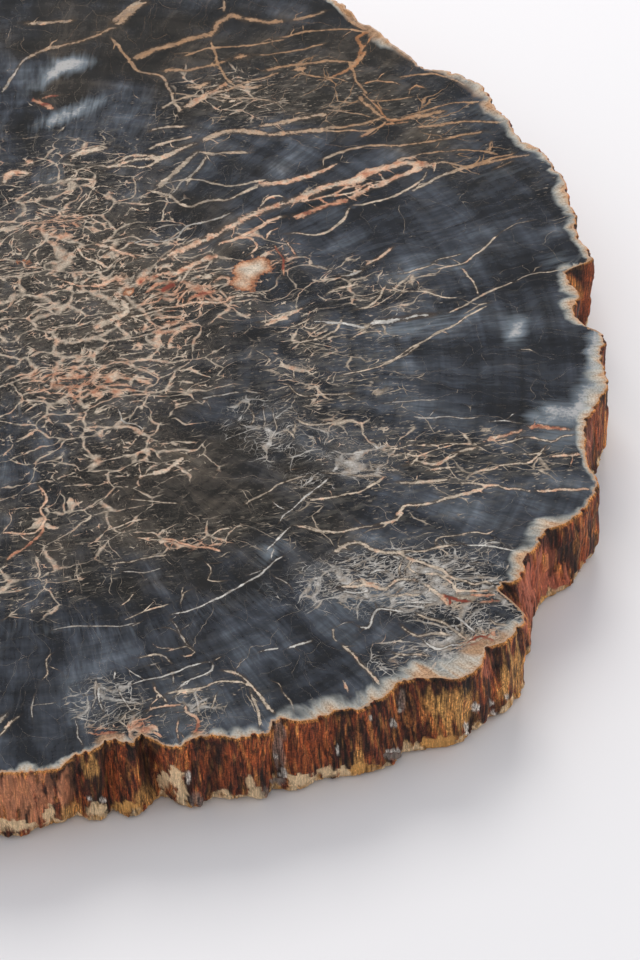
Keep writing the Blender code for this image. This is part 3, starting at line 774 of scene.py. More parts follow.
# Marks on the wall: (kind, x, y, half width, half height) in pixels
barkMarks = [
    ("salmon", 22, 795, 30, 26), ("dark", 56, 779, 9, 9), ("salmon", 65, 790, 8, 16),
    ("gold", 90, 768, 8, 11), ("dark", 93, 784, 11, 8), ("dark", 73, 790, 4, 22),
    ("dark", 104, 752, 8, 13), ("dark", 76, 764, 3, 8), ("rust", 115, 778, 8, 22),
    ("cream", 12, 826, 24, 6), ("cream", 49, 816, 6, 9), ("gold", 74, 812, 9, 9),
    ("cream", 97, 811, 14, 7), ("white", 88, 800, 4, 3), ("white", 104, 801, 4, 3),
    ("gold", 124, 809, 17, 6), ("gold", 144, 798, 8, 10), ("black", 147, 766, 6, 27),
    ("black", 137, 748, 4, 10), ("dark", 128, 775, 7, 22), ("rust", 122, 755, 5, 10),
    ("cream", 165, 781, 7, 9), ("cream", 177, 779, 8, 13), ("cream", 183, 797, 6, 11),
    ("white", 188, 776, 3, 8), ("grey", 197, 801, 6, 6), ("cream", 225, 802, 16, 5),
    ("cream", 251, 783, 5, 9), ("cream", 257, 796, 9, 9), ("grey", 266, 794, 4, 7),
    ("rust", 165, 755, 8, 7), ("rust", 186, 757, 7, 8), ("rust", 204, 758, 6, 14),
    ("dark", 197, 765, 5, 20), ("rust", 225, 770, 10, 22), ("dark", 215, 765, 6, 24),
    ("rust", 250, 757, 13, 14), ("redBrown", 240, 775, 8, 18), ("rust", 268, 755, 4, 24),
    ("grey", 279, 745, 5, 28), ("white", 283, 773, 5, 6), ("white", 277, 758, 3, 4),
    ("grey", 278, 782, 10, 4), ("rust", 305, 752, 14, 26), ("dark", 293, 740, 3, 14),
    ("cream", 303, 781, 16, 7), ("cream", 330, 774, 10, 7), ("cream", 345, 773, 7, 5),
    ("gold", 359, 760, 5, 9), ("gold", 366, 771, 14, 6), ("rust", 325, 740, 8, 24),
    ("white", 338, 750, 2, 4), ("dark", 341, 725, 4, 18), ("dark", 361, 724, 5, 14),
    ("white", 372, 719, 2, 3), ("white", 394, 723, 3, 6), ("grey", 402, 701, 3, 10),
    ("white", 400, 712, 2, 3), ("dark", 408, 738, 5, 18), ("dark", 388, 745, 5, 12),
    ("white", 397, 751, 9, 3), ("grey", 398, 757, 12, 4), ("dark", 413, 700, 4, 20),
    ("dark", 430, 729, 4, 13), ("gold", 434, 707, 6, 14), ("gold", 455, 713, 18, 20),
    ("dark", 451, 687, 4, 6), ("black", 424, 693, 3, 4), ("gold", 440, 745, 22, 8),
    ("white", 476, 707, 5, 6), ("white", 467, 729, 3, 7), ("dark", 473, 722, 4, 10),
    ("white", 493, 703, 3, 4), ("white", 494, 713, 4, 3), ("dark", 497, 660, 4, 18),
    ("black", 509, 651, 3, 12), ("dark", 487, 680, 3, 20), ("gold", 505, 675, 5, 22),
    ("umber", 504, 709, 9, 7), ("white", 508, 697, 3, 4), ("pink", 487, 660, 5, 16),
    ("gold", 518, 668, 5, 26), ("pink", 527, 600, 8, 34), ("pink", 541, 575, 10, 30),
    ("dark", 507, 591, 8, 4), ("black", 545, 538, 5, 7), ("dark", 554, 552, 4, 26),
    ("black", 566, 556, 4, 28), ("dark", 575, 565, 3, 24), ("pink", 560, 585, 10, 12),
    ("rust", 584, 560, 5, 30), ("gold", 560, 600, 22, 5), ("white", 580, 573, 2, 3),
    ("pink", 590, 445, 3, 26), ("dark", 588, 430, 3, 9), ("dark", 590, 455, 2, 10),
    ("rust", 598, 420, 4, 30), ("rust", 590, 285, 9, 30), ("dark", 573, 272, 6, 6),
    ("dark", 583, 278, 2, 12), ("rust", 511, 127, 3, 5), ("rust", 580, 226, 3, 9),
]

# The same kinds of mark round the rest, in mm; some lie at the foot and the others above it
unseenMarks = {
    "seed": 5,
    "count": 210,
    "arc": (22, 262),
    "footShare": 0.42,
    "foot": {"kinds": ("cream", "cream", "gold", "gold", "grey"),
             "wide": (1.5, 5), "high": (1.2, 3.4), "at": (0, 2.6)},
    "above": {"kinds": ("dark", "black", "dark", "rust", "rust", "gold", "salmon", "pink", "white",
                        "grey"),
              "wide": (0.8, 3.5), "high": (3, 11), "at": (5, 22)},
    "white": ((0.5, 1.1), (0.8, 2)),
}


def linear(hexColour):
    # sRGB hex to the linear values that shaders take
    parts = [int(hexColour[i:i + 2], 16) / 255 for i in (1, 3, 5)]
    return tuple(p / 12.92 if p <= 0.04045 else ((p + 0.055) / 1.055) ** 2.4 for p in parts)


def farMarks():
    chance = random.Random(unseenMarks["seed"])
    marks = []
    for _ in range(unseenMarks["count"]):
        angle = chance.uniform(*map(math.radians, unseenMarks["arc"]))
        low = chance.random() < unseenMarks["footShare"]
        habit = unseenMarks["foot" if low else "above"]
        kind = chance.choice(habit["kinds"])
        size = [chance.uniform(*habit[edge]) for edge in ("wide", "high")]
        height = chance.uniform(*habit["at"])
        if kind == "white":
            size = [chance.uniform(*limits) for limits in unseenMarks["white"]]
        marks.append((kind, angle, height, *size))
    return marks


def barkSurface(angles, drops, radii):
    # relief of the bark, and the colour that each point of it is painted
    columns, rows = radii.shape
    turn = np.repeat(angles, rows)
    drop = np.tile(drops, columns)
    base = radii.ravel()
    around = slab["meanRadius"]
    spots = np.column_stack([around * np.cos(turn), around * np.sin(turn), -thickness * drop])
    leaning = spots + spots[:, 2:] * (0, bark["lean"], 0)
    grain = {}
    for space, group in ((leaning, "leaning"), (spots, "upright")):
        for name, (size, seed) in bark[group].items():
            grain[name] = noiseAt(space, size, seed)
    fibres, ribs, frayed, crumbs = (grain[name] for name in ("fibres", "ribs", "frayed", "crumbs"))
    cells = (leaning / bark["block"] + 40).tolist()
    blocks = np.array([noise.cell(Vector(cell)) for cell in cells])
    grown = smoothStep(drop, 0.0, 0.05)
    relief = slab["fibreRidge"] * fibres + slab["barkRidge"] * (0.5 - abs(ribs) * 2)
    relief += slab["splinter"] * (blocks - 0.5) * grown + 0.12 * crumbs * grown
    points = np.column_stack([pith[0] + base * np.cos(turn), pith[1] + base * np.sin(turn),
                              thickness * (1 - drop)])
    pixels = pixelsOf(points)
    low, high = (math.radians(edge) for edge in bark["seen"])
    nearSide = (turn > low) & (turn < high)

    palette = {name: np.array(linear(value)) for name, value in bark["colours"].items()}
    palette["dark"] = (palette["black"] + palette["umber"]) / 2
    level = 0.49 + 0.6 * fibres + 0.38 * ribs + 0.4 * grain["broad"] + 0.14 * (blocks - 0.5)
    stops = [stop for stop, _ in bark["ramp"]]
    colour = np.column_stack([
        np.interp(level, stops, [palette[name][channel] for _, name in bark["ramp"]])
        for channel in range(3)
    ])

    def tinted(name, share):
        # the colour moved towards one of the palette, where the share says so
        return colour + (palette[name] - colour) * share[:, None]

    colour = tinted("tan", 0.35 * smoothStep(grain["tawny"], 0.0, 0.4))
    splits = 1 - smoothStep(abs(grain["splits"]), 0.0, 0.1)
    splits *= smoothStep(grain["splitGroups"], -0.25, 0.15)
    chips, smooth, lumps = np.zeros((3, len(turn)))
    everyMark = [(mark, True) for mark in barkMarks] + [(mark, False) for mark in farMarks()]
    for (kind, x, y, wide, high), seen in everyMark:
        if seen:
            across, over = (pixels[:, 0] - x) / wide, (pixels[:, 1] - y) / high
            allowed = nearSide
        else:
            gap = (turn - x + math.pi) % (2 * math.pi) - math.pi
            across, over = gap * around / wide, (points[:, 2] - y) / high
            allowed = ~nearSide
        reach = np.hypot(across, over)
        chip = kind in ("cream", "white") or (kind in ("gold", "grey") and wide > high)
        reach = reach + (0.5 * grain["rough"] + 0.3 * frayed if chip else 1.1 * frayed)
        if kind == "white":
            reach = 1.25 * reach + 0.4 * grain["rough"]
        cover = (1 - smoothStep(reach, 0.82, 1.0 if chip else 1.25)) * allowed
        colour = tinted(kind, cover * (0.9 if chip else 0.62))
        if kind == "white":
            lumps = np.maximum(lumps, cover * (1 - 0.5 * np.minimum(reach, 1)))
        elif chip:
            chips = np.maximum(chips, cover)
        elif kind in ("pink", "salmon"):
            smooth = np.maximum(smooth, cover)
    # the foot is scalloped with small pale chips all the way round
    scallops = grain["scallops"] + 0.5 * grain["bites"]
    footBand = smoothStep(points[:, 2], 3.4 + 4.2 * scallops, 2.6 + 4.0 * scallops)
    footTint = np.clip(0.55 + grain["footTint"] * 1.5, 0, 1)[:, None]
    footColour = palette["gold"] * 0.75 * (1 - footTint) + palette["cream"] * footTint
    colour += (footColour - colour) * (footBand * 0.85 * (1 - chips))[:, None]
    chips = np.maximum(chips, footBand * 0.7)
    # dark pits and a thin tan skin under the sawn rim
    pits = smoothStep(grain["pits"], 0.12, 0.3)
    rimShade = pits * smoothStep(drop, 0.16, 0.03) * (drop > 0.012)
    colour = tinted("black", rimShade * 0.85)
    colour = tinted("tan", smoothStep(drop, 0.035, 0.0) * (1 - pits) * 0.7)
    # painted shade: the lowest millimetre of the wall is darkened where it meets the table
    footShade = smoothStep(points[:, 2], 1.1, 0.0)
    colour *= ((1 - 0.75 * splits) * (1 - 0.35 * footShade))[:, None]

    chipped = 1 - 0.5 * smoothStep(grain["chipFloor"], -0.3, 0.4)
    relief += bark["lumpHeight"] * lumps * (1 + crumbs) - bark["splitDepth"] * splits * grown
    relief -= bark["chipDepth"] * chips * chipped + bark["pitDepth"] * rimShade
    relief *= np.where(drop < 0.012, 0.55, 1)
    relief -= bark["shadedFootInset"] * footShade
    fibrous = 1 - np.maximum(0.62 * chips, 0.5 * smooth)    # pale chips are smooth, the rest split
    colour = np.column_stack([np.clip(colour, 0, 1), fibrous])
    return relief.reshape(columns, rows), colour.reshape(columns, rows, 4)


def buildSlab():
    angles = columnAngles()
    even = np.linspace(0, 1, slab["rows"] - 1)
    drops = 0.45 * even + 0.55 * (1 - np.cos(math.pi * even)) / 2
    arrisDrop = slab["arris"] / thickness
    drops = np.concatenate([[0], arrisDrop + drops * (1 - 2 * arrisDrop), [1]])
    radii = wallRadii(angles, drops)
    relief, barkColour = barkSurface(angles, drops, radii)
    radii = radii + relief
    radii[:, 0] = radii[:, 1] - slab["arris"]
    radii[:, -1] = radii[:, -2] - slab["arris"]
    columns, rows = radii.shape
    print("bark edge:", columns, "columns of", rows, "points")

    ring = np.column_stack([np.cos(angles), np.sin(angles)])
    wall = np.zeros((columns, rows, 3))
    wall[..., :2] = pith + radii[..., None] * ring[:, None]
    wall[..., 2] = thickness * (1 - drops)
    rim, foot = wall[:, 0, :2], wall[:, -1, :2]

    def rimReach(angle):
        return np.interp(angle, angles, radii[:, 0], period=2 * math.pi)

    drawn = allVeins(rimReach)
    bold = [vein for vein in drawn if vein[1] >= 1.8]
    parts = []
    for outline, height, shown, grid in ((rim, thickness, drawn, slab["faceGrid"]),
                                         (foot, 0, bold, slab["faceGrid"] * 1.3)):
        points, faces, origins = meshFace(outline, shown, grid)
        rimTree = searchTree(outline)
        gaps = np.array([rimTree.find((*point, 0))[2] for point in points])
        marks = fieldMarks(points, gaps)
        marks["vein"], marks["veinTint"] = veinMarks(points, drawn)
        parts.append((height, points, faces, origins, marks))
        print("face at", height, "mm:", len(points), "points,", len(faces), "triangles")

    corners = [tuple(point) for point in wall.reshape(-1, 3)]
    wallCount = len(corners)
    names = list(parts[0][4])
    values = {name: [np.zeros(wallCount)] for name in names}
    polygons, slots = [], []            # slots: 0 polished, 1 bark, 2 honed
    for column in range(columns):
        after = (column + 1) % columns
        for row in range(rows - 1):
            a, b = column * rows + row, after * rows + row
            polygons.append((a, a + 1, b + 1, b))
            slots.append(1)
    for face, (height, points, faces, origins, marks) in enumerate(parts):
        index = []
        extra = []
        for number, sources in enumerate(origins):
            loops = [source for source in sources if source < columns]
            if loops:
                index.append(loops[0] * rows + (rows - 1 if face else 0))
            else:
                index.append(wallCount + len(extra) + sum(len(v) for v in values[names[0]][1:]))
                extra.append(number)
                corners.append((*points[number], height))
        for name in names:
            values[name].append(marks[name][extra])
        for triangle in faces:
            ids = [index[corner] for corner in triangle]
            polygons.append(tuple(reversed(ids)) if face else tuple(ids))
            slots.append(2 if face else 0)
    mesh = bpy.data.meshes.new("petrifiedWoodSlab")
    mesh.from_pydata([(x * mm, y * mm, z * mm) for x, y, z in corners], [], polygons)
    mesh.polygons.foreach_set("material_index", slots)
    for name in names:
        layer = mesh.attributes.new(name, "FLOAT", "POINT")
        layer.data.foreach_set("value", np.concatenate(values[name]).astype(np.float32))
    paint = np.ones((len(corners), 4), np.float32)
    paint[:, :3] = 0.05
    paint[:wallCount] = barkColour.reshape(-1, 4)
    layer = mesh.attributes.new("barkPaint", "FLOAT_COLOR", "POINT")
    layer.data.foreach_set("color", paint.ravel())
    mesh.update()
    mesh.shade_smooth()
    mesh.set_sharp_from_angle(angle=math.radians(48))
    piece = bpy.data.objects.new("petrifiedWoodSlab", mesh)
    bpy.context.scene.collection.objects.link(piece)
    print("slab:", sum(len(p) - 2 for p in polygons), "triangles")
    return piece


# Finishes

# settings that a kind of node has here unless a call says otherwise
usualSettings = {
    "Math": {"operation": "MULTIPLY_ADD"},
    "VectorMath": {"operation": "MULTIPLY_ADD"},
    "MapRange": {"interpolation_type": "SMOOTHSTEP"},
    "Mix": {"data_type": "RGBA"},
}


def addNode(tree, kind, *values, stops=(), **settings):
    # one shader node with its settings and its inputs, in their order or by name: a value,
    # a hex colour, or another node to link from
    node = tree.nodes.new("ShaderNode" + kind)
    for name, setting in {**usualSettings.get(kind, {}), **settings}.items():
        setattr(node, name, setting)
    inputs = [socket for socket in node.inputs if socket.enabled]
    if values and isinstance(values[0], dict):
        inputs = [node.inputs[name] for name in values[0]]
        values = values[0].values()
    for socket, value in zip(inputs, values):
        if isinstance(value, bpy.types.Node):
            value = next(output for output in value.outputs if output.enabled)
        if isinstance(value, bpy.types.NodeSocket):
            tree.links.new(value, socket)
        else:
            socket.default_value = (*linear(value), 1) if isinstance(value, str) else value
    for number, (place, colour) in enumerate(stops):
        elements = node.color_ramp.elements
        stop = elements[number] if number < 2 else elements.new(place)
        stop.position = place
        stop.color = (*linear(colour), 1)
    return node


polish = {
    "slate": {0.3: "#0e1013", 0.44: "#191c22", 0.54: "#2b2f36", 0.64: "#3d4249", 0.78: "#5c636a"},
    "olive": {0.3: "#0d0c0a", 0.44: "#191714", 0.54: "#282420", 0.64: "#3b352e", 0.78: "#574e43"},
    "vein": {0.0: "#bfbbb5", 0.22: "#928d87", 0.42: "#8f806f", 0.56: "#baab99", 0.7: "#c29f86",
             0.86: "#ad795d", 1.0: "#74301f"},
    "quartz": {0.36: "#6b4535", 0.48: "#a9704f", 0.6: "#c4997a", 0.8: "#ceb096", 1.0: "#d3c3b0"},
    "rim": {0.0: "#bb9472", 0.2: "#b5a592", 0.58: "#979893", 1.0: "#5f676c"},
    "haze": "#79838c",
    "milk": "#b3b0ad",
    "smudge": "#6f695f",
    "dust": "#4f463c",
    "glow": "#45382b",           # the stain beside a traced crack
    "tawny": "#91663c",          # iron stain along the sapwood and in the cracks near it
    "straySlow": (14, 6.0),      # cracks stray from their course: over how far, and by how much
    "strayFast": (1.6, 0.4),
    "wedge": (60, 0.38),         # cells have their true size this far out, and how they grow
    "slant": (24, 1.7),          # degrees that the crushed wood is turned, and its stretch
    "comb": (14, 3.4),           # the same for smudges and flecks
    "ring": (33.333, 2.6),       # growth rings: how far one runs evenly, and its width, drawn coarse
    "ray": (0.45, 7.6923),       # the wood's rays: as wide as still shows, and their length
    "cell": (7.0, 4.0, 2.4, 1.2),    # widths of the cells between cracks
    # noises: their space, their size, their detail and their roughness
    "noises": {
        "grit": ("level", 0.76923, 3.0, 0.6),
        "patch": ("wedge", 3.3333, 3.0, 0.5),
        "cloud": ("wedge", 8.3333, 5.0, 0.62),
        "tint": ("level", 2.5, 4.0, 0.5),           # how far apart a crack changes colour
        "crumbs": ("level", 0.45455, 2.0, 0.5),
        "crush": ("slanted", 5.9, 3.0, 0.5),        # patches of crushed wood
        "grain": ("slanted", 2.0, 3.0, 0.5),        # and the grains in them
        "shards": ("slanted", 1.33, 4.0, 0.62),     # pale splinters
        "smudges": ("combed", 1.8, 5.0, 0.7),
        "flecks": ("combed", 0.6, 2.0, 0.6),
        "rings": ("ring", 1.0, 3.0, 0.5),
        "rays": ("ray", 1.0, 2.0, 0.5),
    },
    "ior": 1.54,                 # quartz
    "roughness": 0.22,
    "honed": 0.5,                # roughness of the underside
}


def polishedFinish(name, roughness):
    # Petrified wood, sawn and polished: agate and quartz, dark from carbon and iron, with
    # pale cracks. The eye gets a deep even gloss, and the pattern lies under it.
    material = bpy.data.materials.new(name)
    material.use_nodes = True
    tree = material.node_tree
    shader = tree.nodes["Principled BSDF"]
    add = partial(addNode, tree)
    place = add("TexCoord").outputs["Object"]
    field = {key: add("Attribute", attribute_name=key).outputs["Fac"]
             for key in (*fields, "rimGap", "vein", "veinTint")}

    # millimetres from the pith, bent by slow and fast noise, then turned into a wedge space
    level = add("VectorMath", place, (1000, 1000, 0), (-pith[0], -pith[1], 0))
    bent = level
    strays = []
    for size, gain in (polish["straySlow"], polish["strayFast"]):
        stray = add("TexNoise", {"Vector": level, "Scale": 1 / size, "Detail": 2.0})
        shift = add("VectorMath", stray.outputs["Color"], (0.5, 0.5, 0.5), operation="SUBTRACT")
        bent = add("VectorMath", shift, (2 * gain, 2 * gain, 0), bent)
        strays.append(stray)
    trueAt, stretch = polish["wedge"]
    heading, bentHeading = (add("VectorMath", spot, operation="NORMALIZE") for spot in (level, bent))
    reach, bentReach = (add("VectorMath", spot, operation="LENGTH") for spot in (level, bent))
    grown = add("Math", add("Math", bentReach, 1 / trueAt, 0.0), stretch, operation="POWER")
    wedge = add("VectorMath", bentHeading, add("Math", grown, trueAt, 0.0), operation="SCALE")
    spaces = {"level": level, "wedge": wedge}
    nudged = add("VectorMath", shift, (0.8, 0.8, 0), level)
    for key, spot, (turn, length) in (("slanted", bent, polish["slant"]),
                                      ("combed", nudged, polish["comb"])):
        spaces[key] = add("Mapping", {"Vector": spot, "Rotation": (0, 0, math.radians(turn)),
                                      "Scale": (length, 1.0, 1.0)}, vector_type="TEXTURE")
    for key in ("ring", "ray"):
        across, along = polish[key]
        lift = add("CombineXYZ", 0.0, 0.0, add("Math", reach, 1 / along, 0.0))
        spaces[key] = add("VectorMath", heading, (trueAt / across,) * 3, lift)
    grit, patch, cloud, tint, crumbs, crush, grain, shards, smudges, flecks, rings, rays = (
        add("TexNoise", {"Vector": spaces[key], "Scale": 1 / size, "Detail": detail,
                         "Roughness": rough})
        for key, size, detail, rough in polish["noises"].values())
    plate, small, block, pieces, tiny = (
        add("TexVoronoi", {"Vector": spaces[key], "Scale": 1 / polish["cell"][step]},
            feature="DISTANCE_TO_EDGE")
        for key, step in (("wedge", 0), ("wedge", 1), ("slanted", 0), ("slanted", 2), ("slanted", 3)))

    # the dark stone, in clouds, rings and rays
    slate = add("ValToRGB", cloud, stops=polish["slate"].items())
    olive = add("ValToRGB", cloud, stops=polish["olive"].items())
    oliveNow = add("Math", strays[0], 1.6, add("Math", field["olive"], 1.0, -0.8))
    stone = add("Mix", add("MapRange", oliveNow, 0.1, 0.9), slate, olive)
    ringGain = add("MapRange", rings, 0.3, 0.7, 0.62, 1.6, interpolation_type="LINEAR")
    rayGain = add("MapRange", rays, 0.3, 0.7, 0.75, 1.3, interpolation_type="LINEAR")
    gain = add("Math", ringGain, rayGain, operation="MULTIPLY")
    gain = add("Math", gain, add("MapRange", plate, 0.0, 0.3, 1.3, 0.85), operation="MULTIPLY")
    stone = add("VectorMath", stone, gain, operation="SCALE")

    # blue haze, milky patches, and dust near the broken parts
    hazeNow = add("Math", field["haze"], patch, add("Math", field["crackle"], 0.05, 0.0))
    hazeNow = add("Math", rays, 0.4, add("Math", hazeNow, 1.0, -0.2))
    hazeMask = add("MapRange", hazeNow, 0.08, 0.62, 0.0, 0.9)
    stone = add("Mix", hazeMask, stone, polish["haze"])
    clotted = add("Math", rays, 0.15, add("Math", grit, 0.8, -0.48))
    milkNow = add("Math", field["haze"], add("Math", patch, 1.2, 0.25), clotted)
    milky = add("MapRange", milkNow, 0.68, 1.06, 0.0, 0.78)
    stone = add("Mix", milky, stone, polish["milk"])
    dustNow = add("Math", field["breccia"], 0.16, add("Math", field["olive"], 0.06, grit))
    dustMask = add("MapRange", dustNow, 0.56, 0.82, 0.0, 0.4)
    stone = add("Mix", dustMask, stone, polish["dust"])

    # smudges and short flecks, where the stone is broken
    smudgeNow = add("Math", field["plates"], 0.06, add("Math", field["breccia"], 0.04, smudges))
    smudgeMask = add("MapRange", smudgeNow, 0.5, 0.76)
    busy = add("Math", field["breccia"], 1.0, add("Math", field["crackle"], 1.0, field["plates"]))
    busy = add("MapRange", busy, 0.0, 0.9)
    smudgeShare = add("Math", smudgeMask, add("Math", busy, 0.3, 0.1), operation="MULTIPLY")
    stone = add("Mix", smudgeShare, stone, polish["smudge"])
    swell = add("Math", patch, 1.6, -0.8)
    veinStops = polish["vein"].items()
    fleckNow = add("Math", field["breccia"], 0.06, add("Math", swell, 0.2, flecks))
    fleckNow = add("Math", field["plates"], 0.05, fleckNow)
    fleckMask = add("MapRange", fleckNow, 0.64, 0.75)
    fleckColour = add("ValToRGB", add("Math", tint, 0.9, 0.0), stops=veinStops)
    fleckShare = add("Math", fleckMask, add("Math", busy, 0.75, 0.05), operation="MULTIPLY")
    stone = add("Mix", fleckShare, stone, fleckColour)

    # cracks round cells of four sizes, wide where their field and a patch let them be
    reds = add("Math", field["breccia"], 0.1, add("Math", field["rust"], 0.12, 0.0))
    crushNow = add("Math", reds, 1.0, add("Math", grain, 0.5, crush))
    groundNow = add("Math", reds, 1.0, add("Math", crush, -0.3, grain))
    widths = {
        "threads": add("Math", field["plates"], 0.03, add("Math", swell, 0.09, -0.02)),
        "breccia": add("Math", field["breccia"], 0.05, add("Math", swell, 0.14, 0.01)),
        "crushed": add("MapRange", crushNow, 0.84, 1.14, 0.0, 0.32),
        "ground": add("MapRange", groundNow, 0.45, 0.74, 0.0, 0.25),
        "crackle": add("Math", field["crackle"], 0.1, add("Math", swell, 0.18, 0.0)),
    }

    def webOf(cells, key, share):
        # pale lines along the borders of the cells, as wide as the key's field allows
        width = add("Math", add("Math", widths[key], share, 0.0), 0.001, operation="MAXIMUM")
        line = add("MapRange", cells, 0.0, width, 1.0, 0.0, interpolation_type="LINEAR")
        present = add("MapRange", field[key], 0.02, 0.2) if key in field else 1.0
        return add("Math", line, present, operation="MULTIPLY")

    inside = add("MapRange", field["breccia"], 0.02, 0.3)
    warm = webOf(block, "breccia", 1.0)
    shardMask = add("MapRange", add("Math", grain, 0.35, shards), 0.88, 0.94)
    for layer in (webOf(pieces, "crushed", 1.0), webOf(tiny, "ground", 1.0), shardMask):
        layer = add("Math", layer, inside, operation="MULTIPLY")
        warm = add("Math", warm, layer, operation="MAXIMUM")
    pale = add("Math", webOf(block, "crackle", 1.0), webOf(tiny, "crackle", 1.0), operation="MAXIMUM")
    paleNow = add("Math", field["crackle"], 0.15, add("Math", swell, 0.2, flecks))
    crackled = add("MapRange", field["crackle"], 0.1, 0.5)
    paleFlecks = add("Math", add("MapRange", paleNow, 0.63, 0.74), crackled, operation="MULTIPLY")
    pale = add("Math", pale, paleFlecks, operation="MAXIMUM")
    wide = add("Math", webOf(plate, "threads", 0.55), webOf(small, "threads", 1.0), operation="MAXIMUM")

    # their colours: the rustier the place, the redder, and golden near the far rim
    rustPush = add("Math", field["rust"], 0.24, add("Math", tint, 0.9, -0.45))
    webColour, wideColour = (add("ValToRGB", add("Math", rustPush, 1.0, start), stops=veinStops)
                             for start in (0.58, 0.45))
    paleColour = add("ValToRGB", add("Math", rustPush, 0.9, 0.22), stops=veinStops)
    goldNow = add("Math", grain, 0.9, add("Math", field["gold"], 1.0, -0.45))
    gilded = add("MapRange", goldNow, 0.1, 1.0, 0.0, 0.72)
    wideColour = add("Mix", gilded, wideColour, polish["tawny"])
    crumbNow = add("Math", grain, 0.6, add("Math", crumbs, 0.5, 0.0))
    crumbGain = add("MapRange", crumbNow, 0.42, 0.68, 0.5, 1.15, interpolation_type="LINEAR")

    def crumbly(colour, line):
        # darker at its edges and from grain to grain
        across = add("MapRange", line, 0.1, 0.95, 0.5, 1.22)
        shade = add("Math", crumbGain, across, operation="MULTIPLY")
        return add("VectorMath", colour, shade, operation="SCALE")

    wideMask = add("MapRange", wide, 0.05, 0.5, 0.0, 0.85)
    warmNow = add("Math", grit, 0.5, add("Math", warm, 1.0, -0.3))
    warmMask = add("MapRange", warmNow, 0.02, 0.52, 0.0, 0.8)
    paleMask = add("MapRange", pale, 0.22, 0.62, 0.0, 0.95)
    for mask, colour, line in ((wideMask, wideColour, wide), (warmMask, webColour, warm),
                               (paleMask, paleColour, pale)):
        stone = add("Mix", mask, stone, crumbly(colour, line))

    # the traced cracks: a brown stain beside each, a ragged body that thins and fades
    fray = add("Math", grit, 0.9, add("Math", patch, 1.4, -1.15))
    body = add("Math", add("Math", shards, 1.0, -0.5), 1.3, add("Math", fray, 1.0, field["vein"]))
    stone = add("Mix", add("MapRange", field["vein"], 0.0, 0.6, 0.0, 0.6), stone, polish["glow"])
    veinMask = add("MapRange", body, 0.48, 0.76)
    tintNow = add("Math", rustPush, 0.9, add("Math", field["veinTint"], 1.0, -0.25))
    tintNow = add("Math", shards, 0.5, tintNow)
    veinColour = add("Mix", gilded, add("ValToRGB", tintNow, stops=veinStops), polish["tawny"])
    stone = add("Mix", veinMask, stone, crumbly(veinColour, body))
    quartzNow = add("Math", fray, 0.6, field["quartz"])
    quartzColour = add("ValToRGB", quartzNow, stops=polish["quartz"].items())
    stone = add("Mix", add("MapRange", quartzNow, 0.32, 0.42), stone, crumbly(quartzColour, 0.6))

    # the sapwood under the bark: pale, feathering inwards along the rays
    ragged = add("Math", rays, 1.1, add("Math", crumbs, 0.8, add("Math", patch, 5.4, -3.5)))
    feather = add("Math", ragged, add("Math", field["sapwood"], 2.6, 0.4), field["rimGap"])
    bandWidth = add("Math", field["sapwood"], 7.4, 0.2)
    rimShare = add("MapRange", feather, 0.0, bandWidth, 0.0, 1.0, interpolation_type="LINEAR")
    rimColour = add("ValToRGB", rimShare, stops=polish["rim"].items())
    stained = add("MapRange", field["rust"], 0.1, 0.7, 0.0, 0.75)
    rimColour = add("Mix", stained, rimColour, polish["tawny"])
    rimMask = add("MapRange", rimShare, 0.4, 1.0, 0.85, 0.0)
    rimGrain = add("Math", rays, 0.45, add("Math", crumbs, 0.55, 0.0))
    rimGain = add("MapRange", rimGrain, 0.36, 0.62, 0.55, 1.5, interpolation_type="LINEAR")
    rimStreaks = add("VectorMath", rimColour, rimGain, operation="SCALE")
    stone = add("Mix", rimMask, stone, rimStreaks)
    skin = add("Math", add("Math", grit, 1.8, -0.6), -1.0, field["rimGap"])
    skinMask = add("MapRange", skin, 0.0, 0.3, 0.7, 0.0)
    stone = add("Mix", skinMask, stone, polish["rim"][0.0])

    tree.links.new(stone.outputs[2], shader.inputs["Base Color"])
    gloss = add("MapRange", veinMask, 0.0, 1.0, roughness, roughness + 0.12)
    tree.links.new(gloss.outputs[0], shader.inputs["Roughness"])
    shader.inputs["IOR"].default_value = polish["ior"]
    return material


weathered = {
    # noises: their lumps in mm, detail and roughness, then the stretch of noise that counts
    # and the gains it stands for; a real fibre is 0.03 mm, so bundles of them are drawn
    "noises": {
        "streaks": ((0.41667, 0.41667, 7.1429), 3.0, 0.65, (0.3, 0.7, 0.2, 2.3)),
        "grit": ((0.58824, 0.58824, 0.58824), 4.0, 0.75, (0.3, 0.7, 0.35, 1.65)),
        "hairs": ((0.2, 0.2, 4.0), 2.0, 0.5, (0.34, 0.6, 0.3, 1.3)),
    },
    "bareChip": 1.3,             # gain of a chip, where no fibres show
    "shader": {"Roughness": 0.7, "IOR": 1.54, "Specular IOR Level": 0.3},
    "bump": (0.55, 0.4),         # strength, and height in mm
}


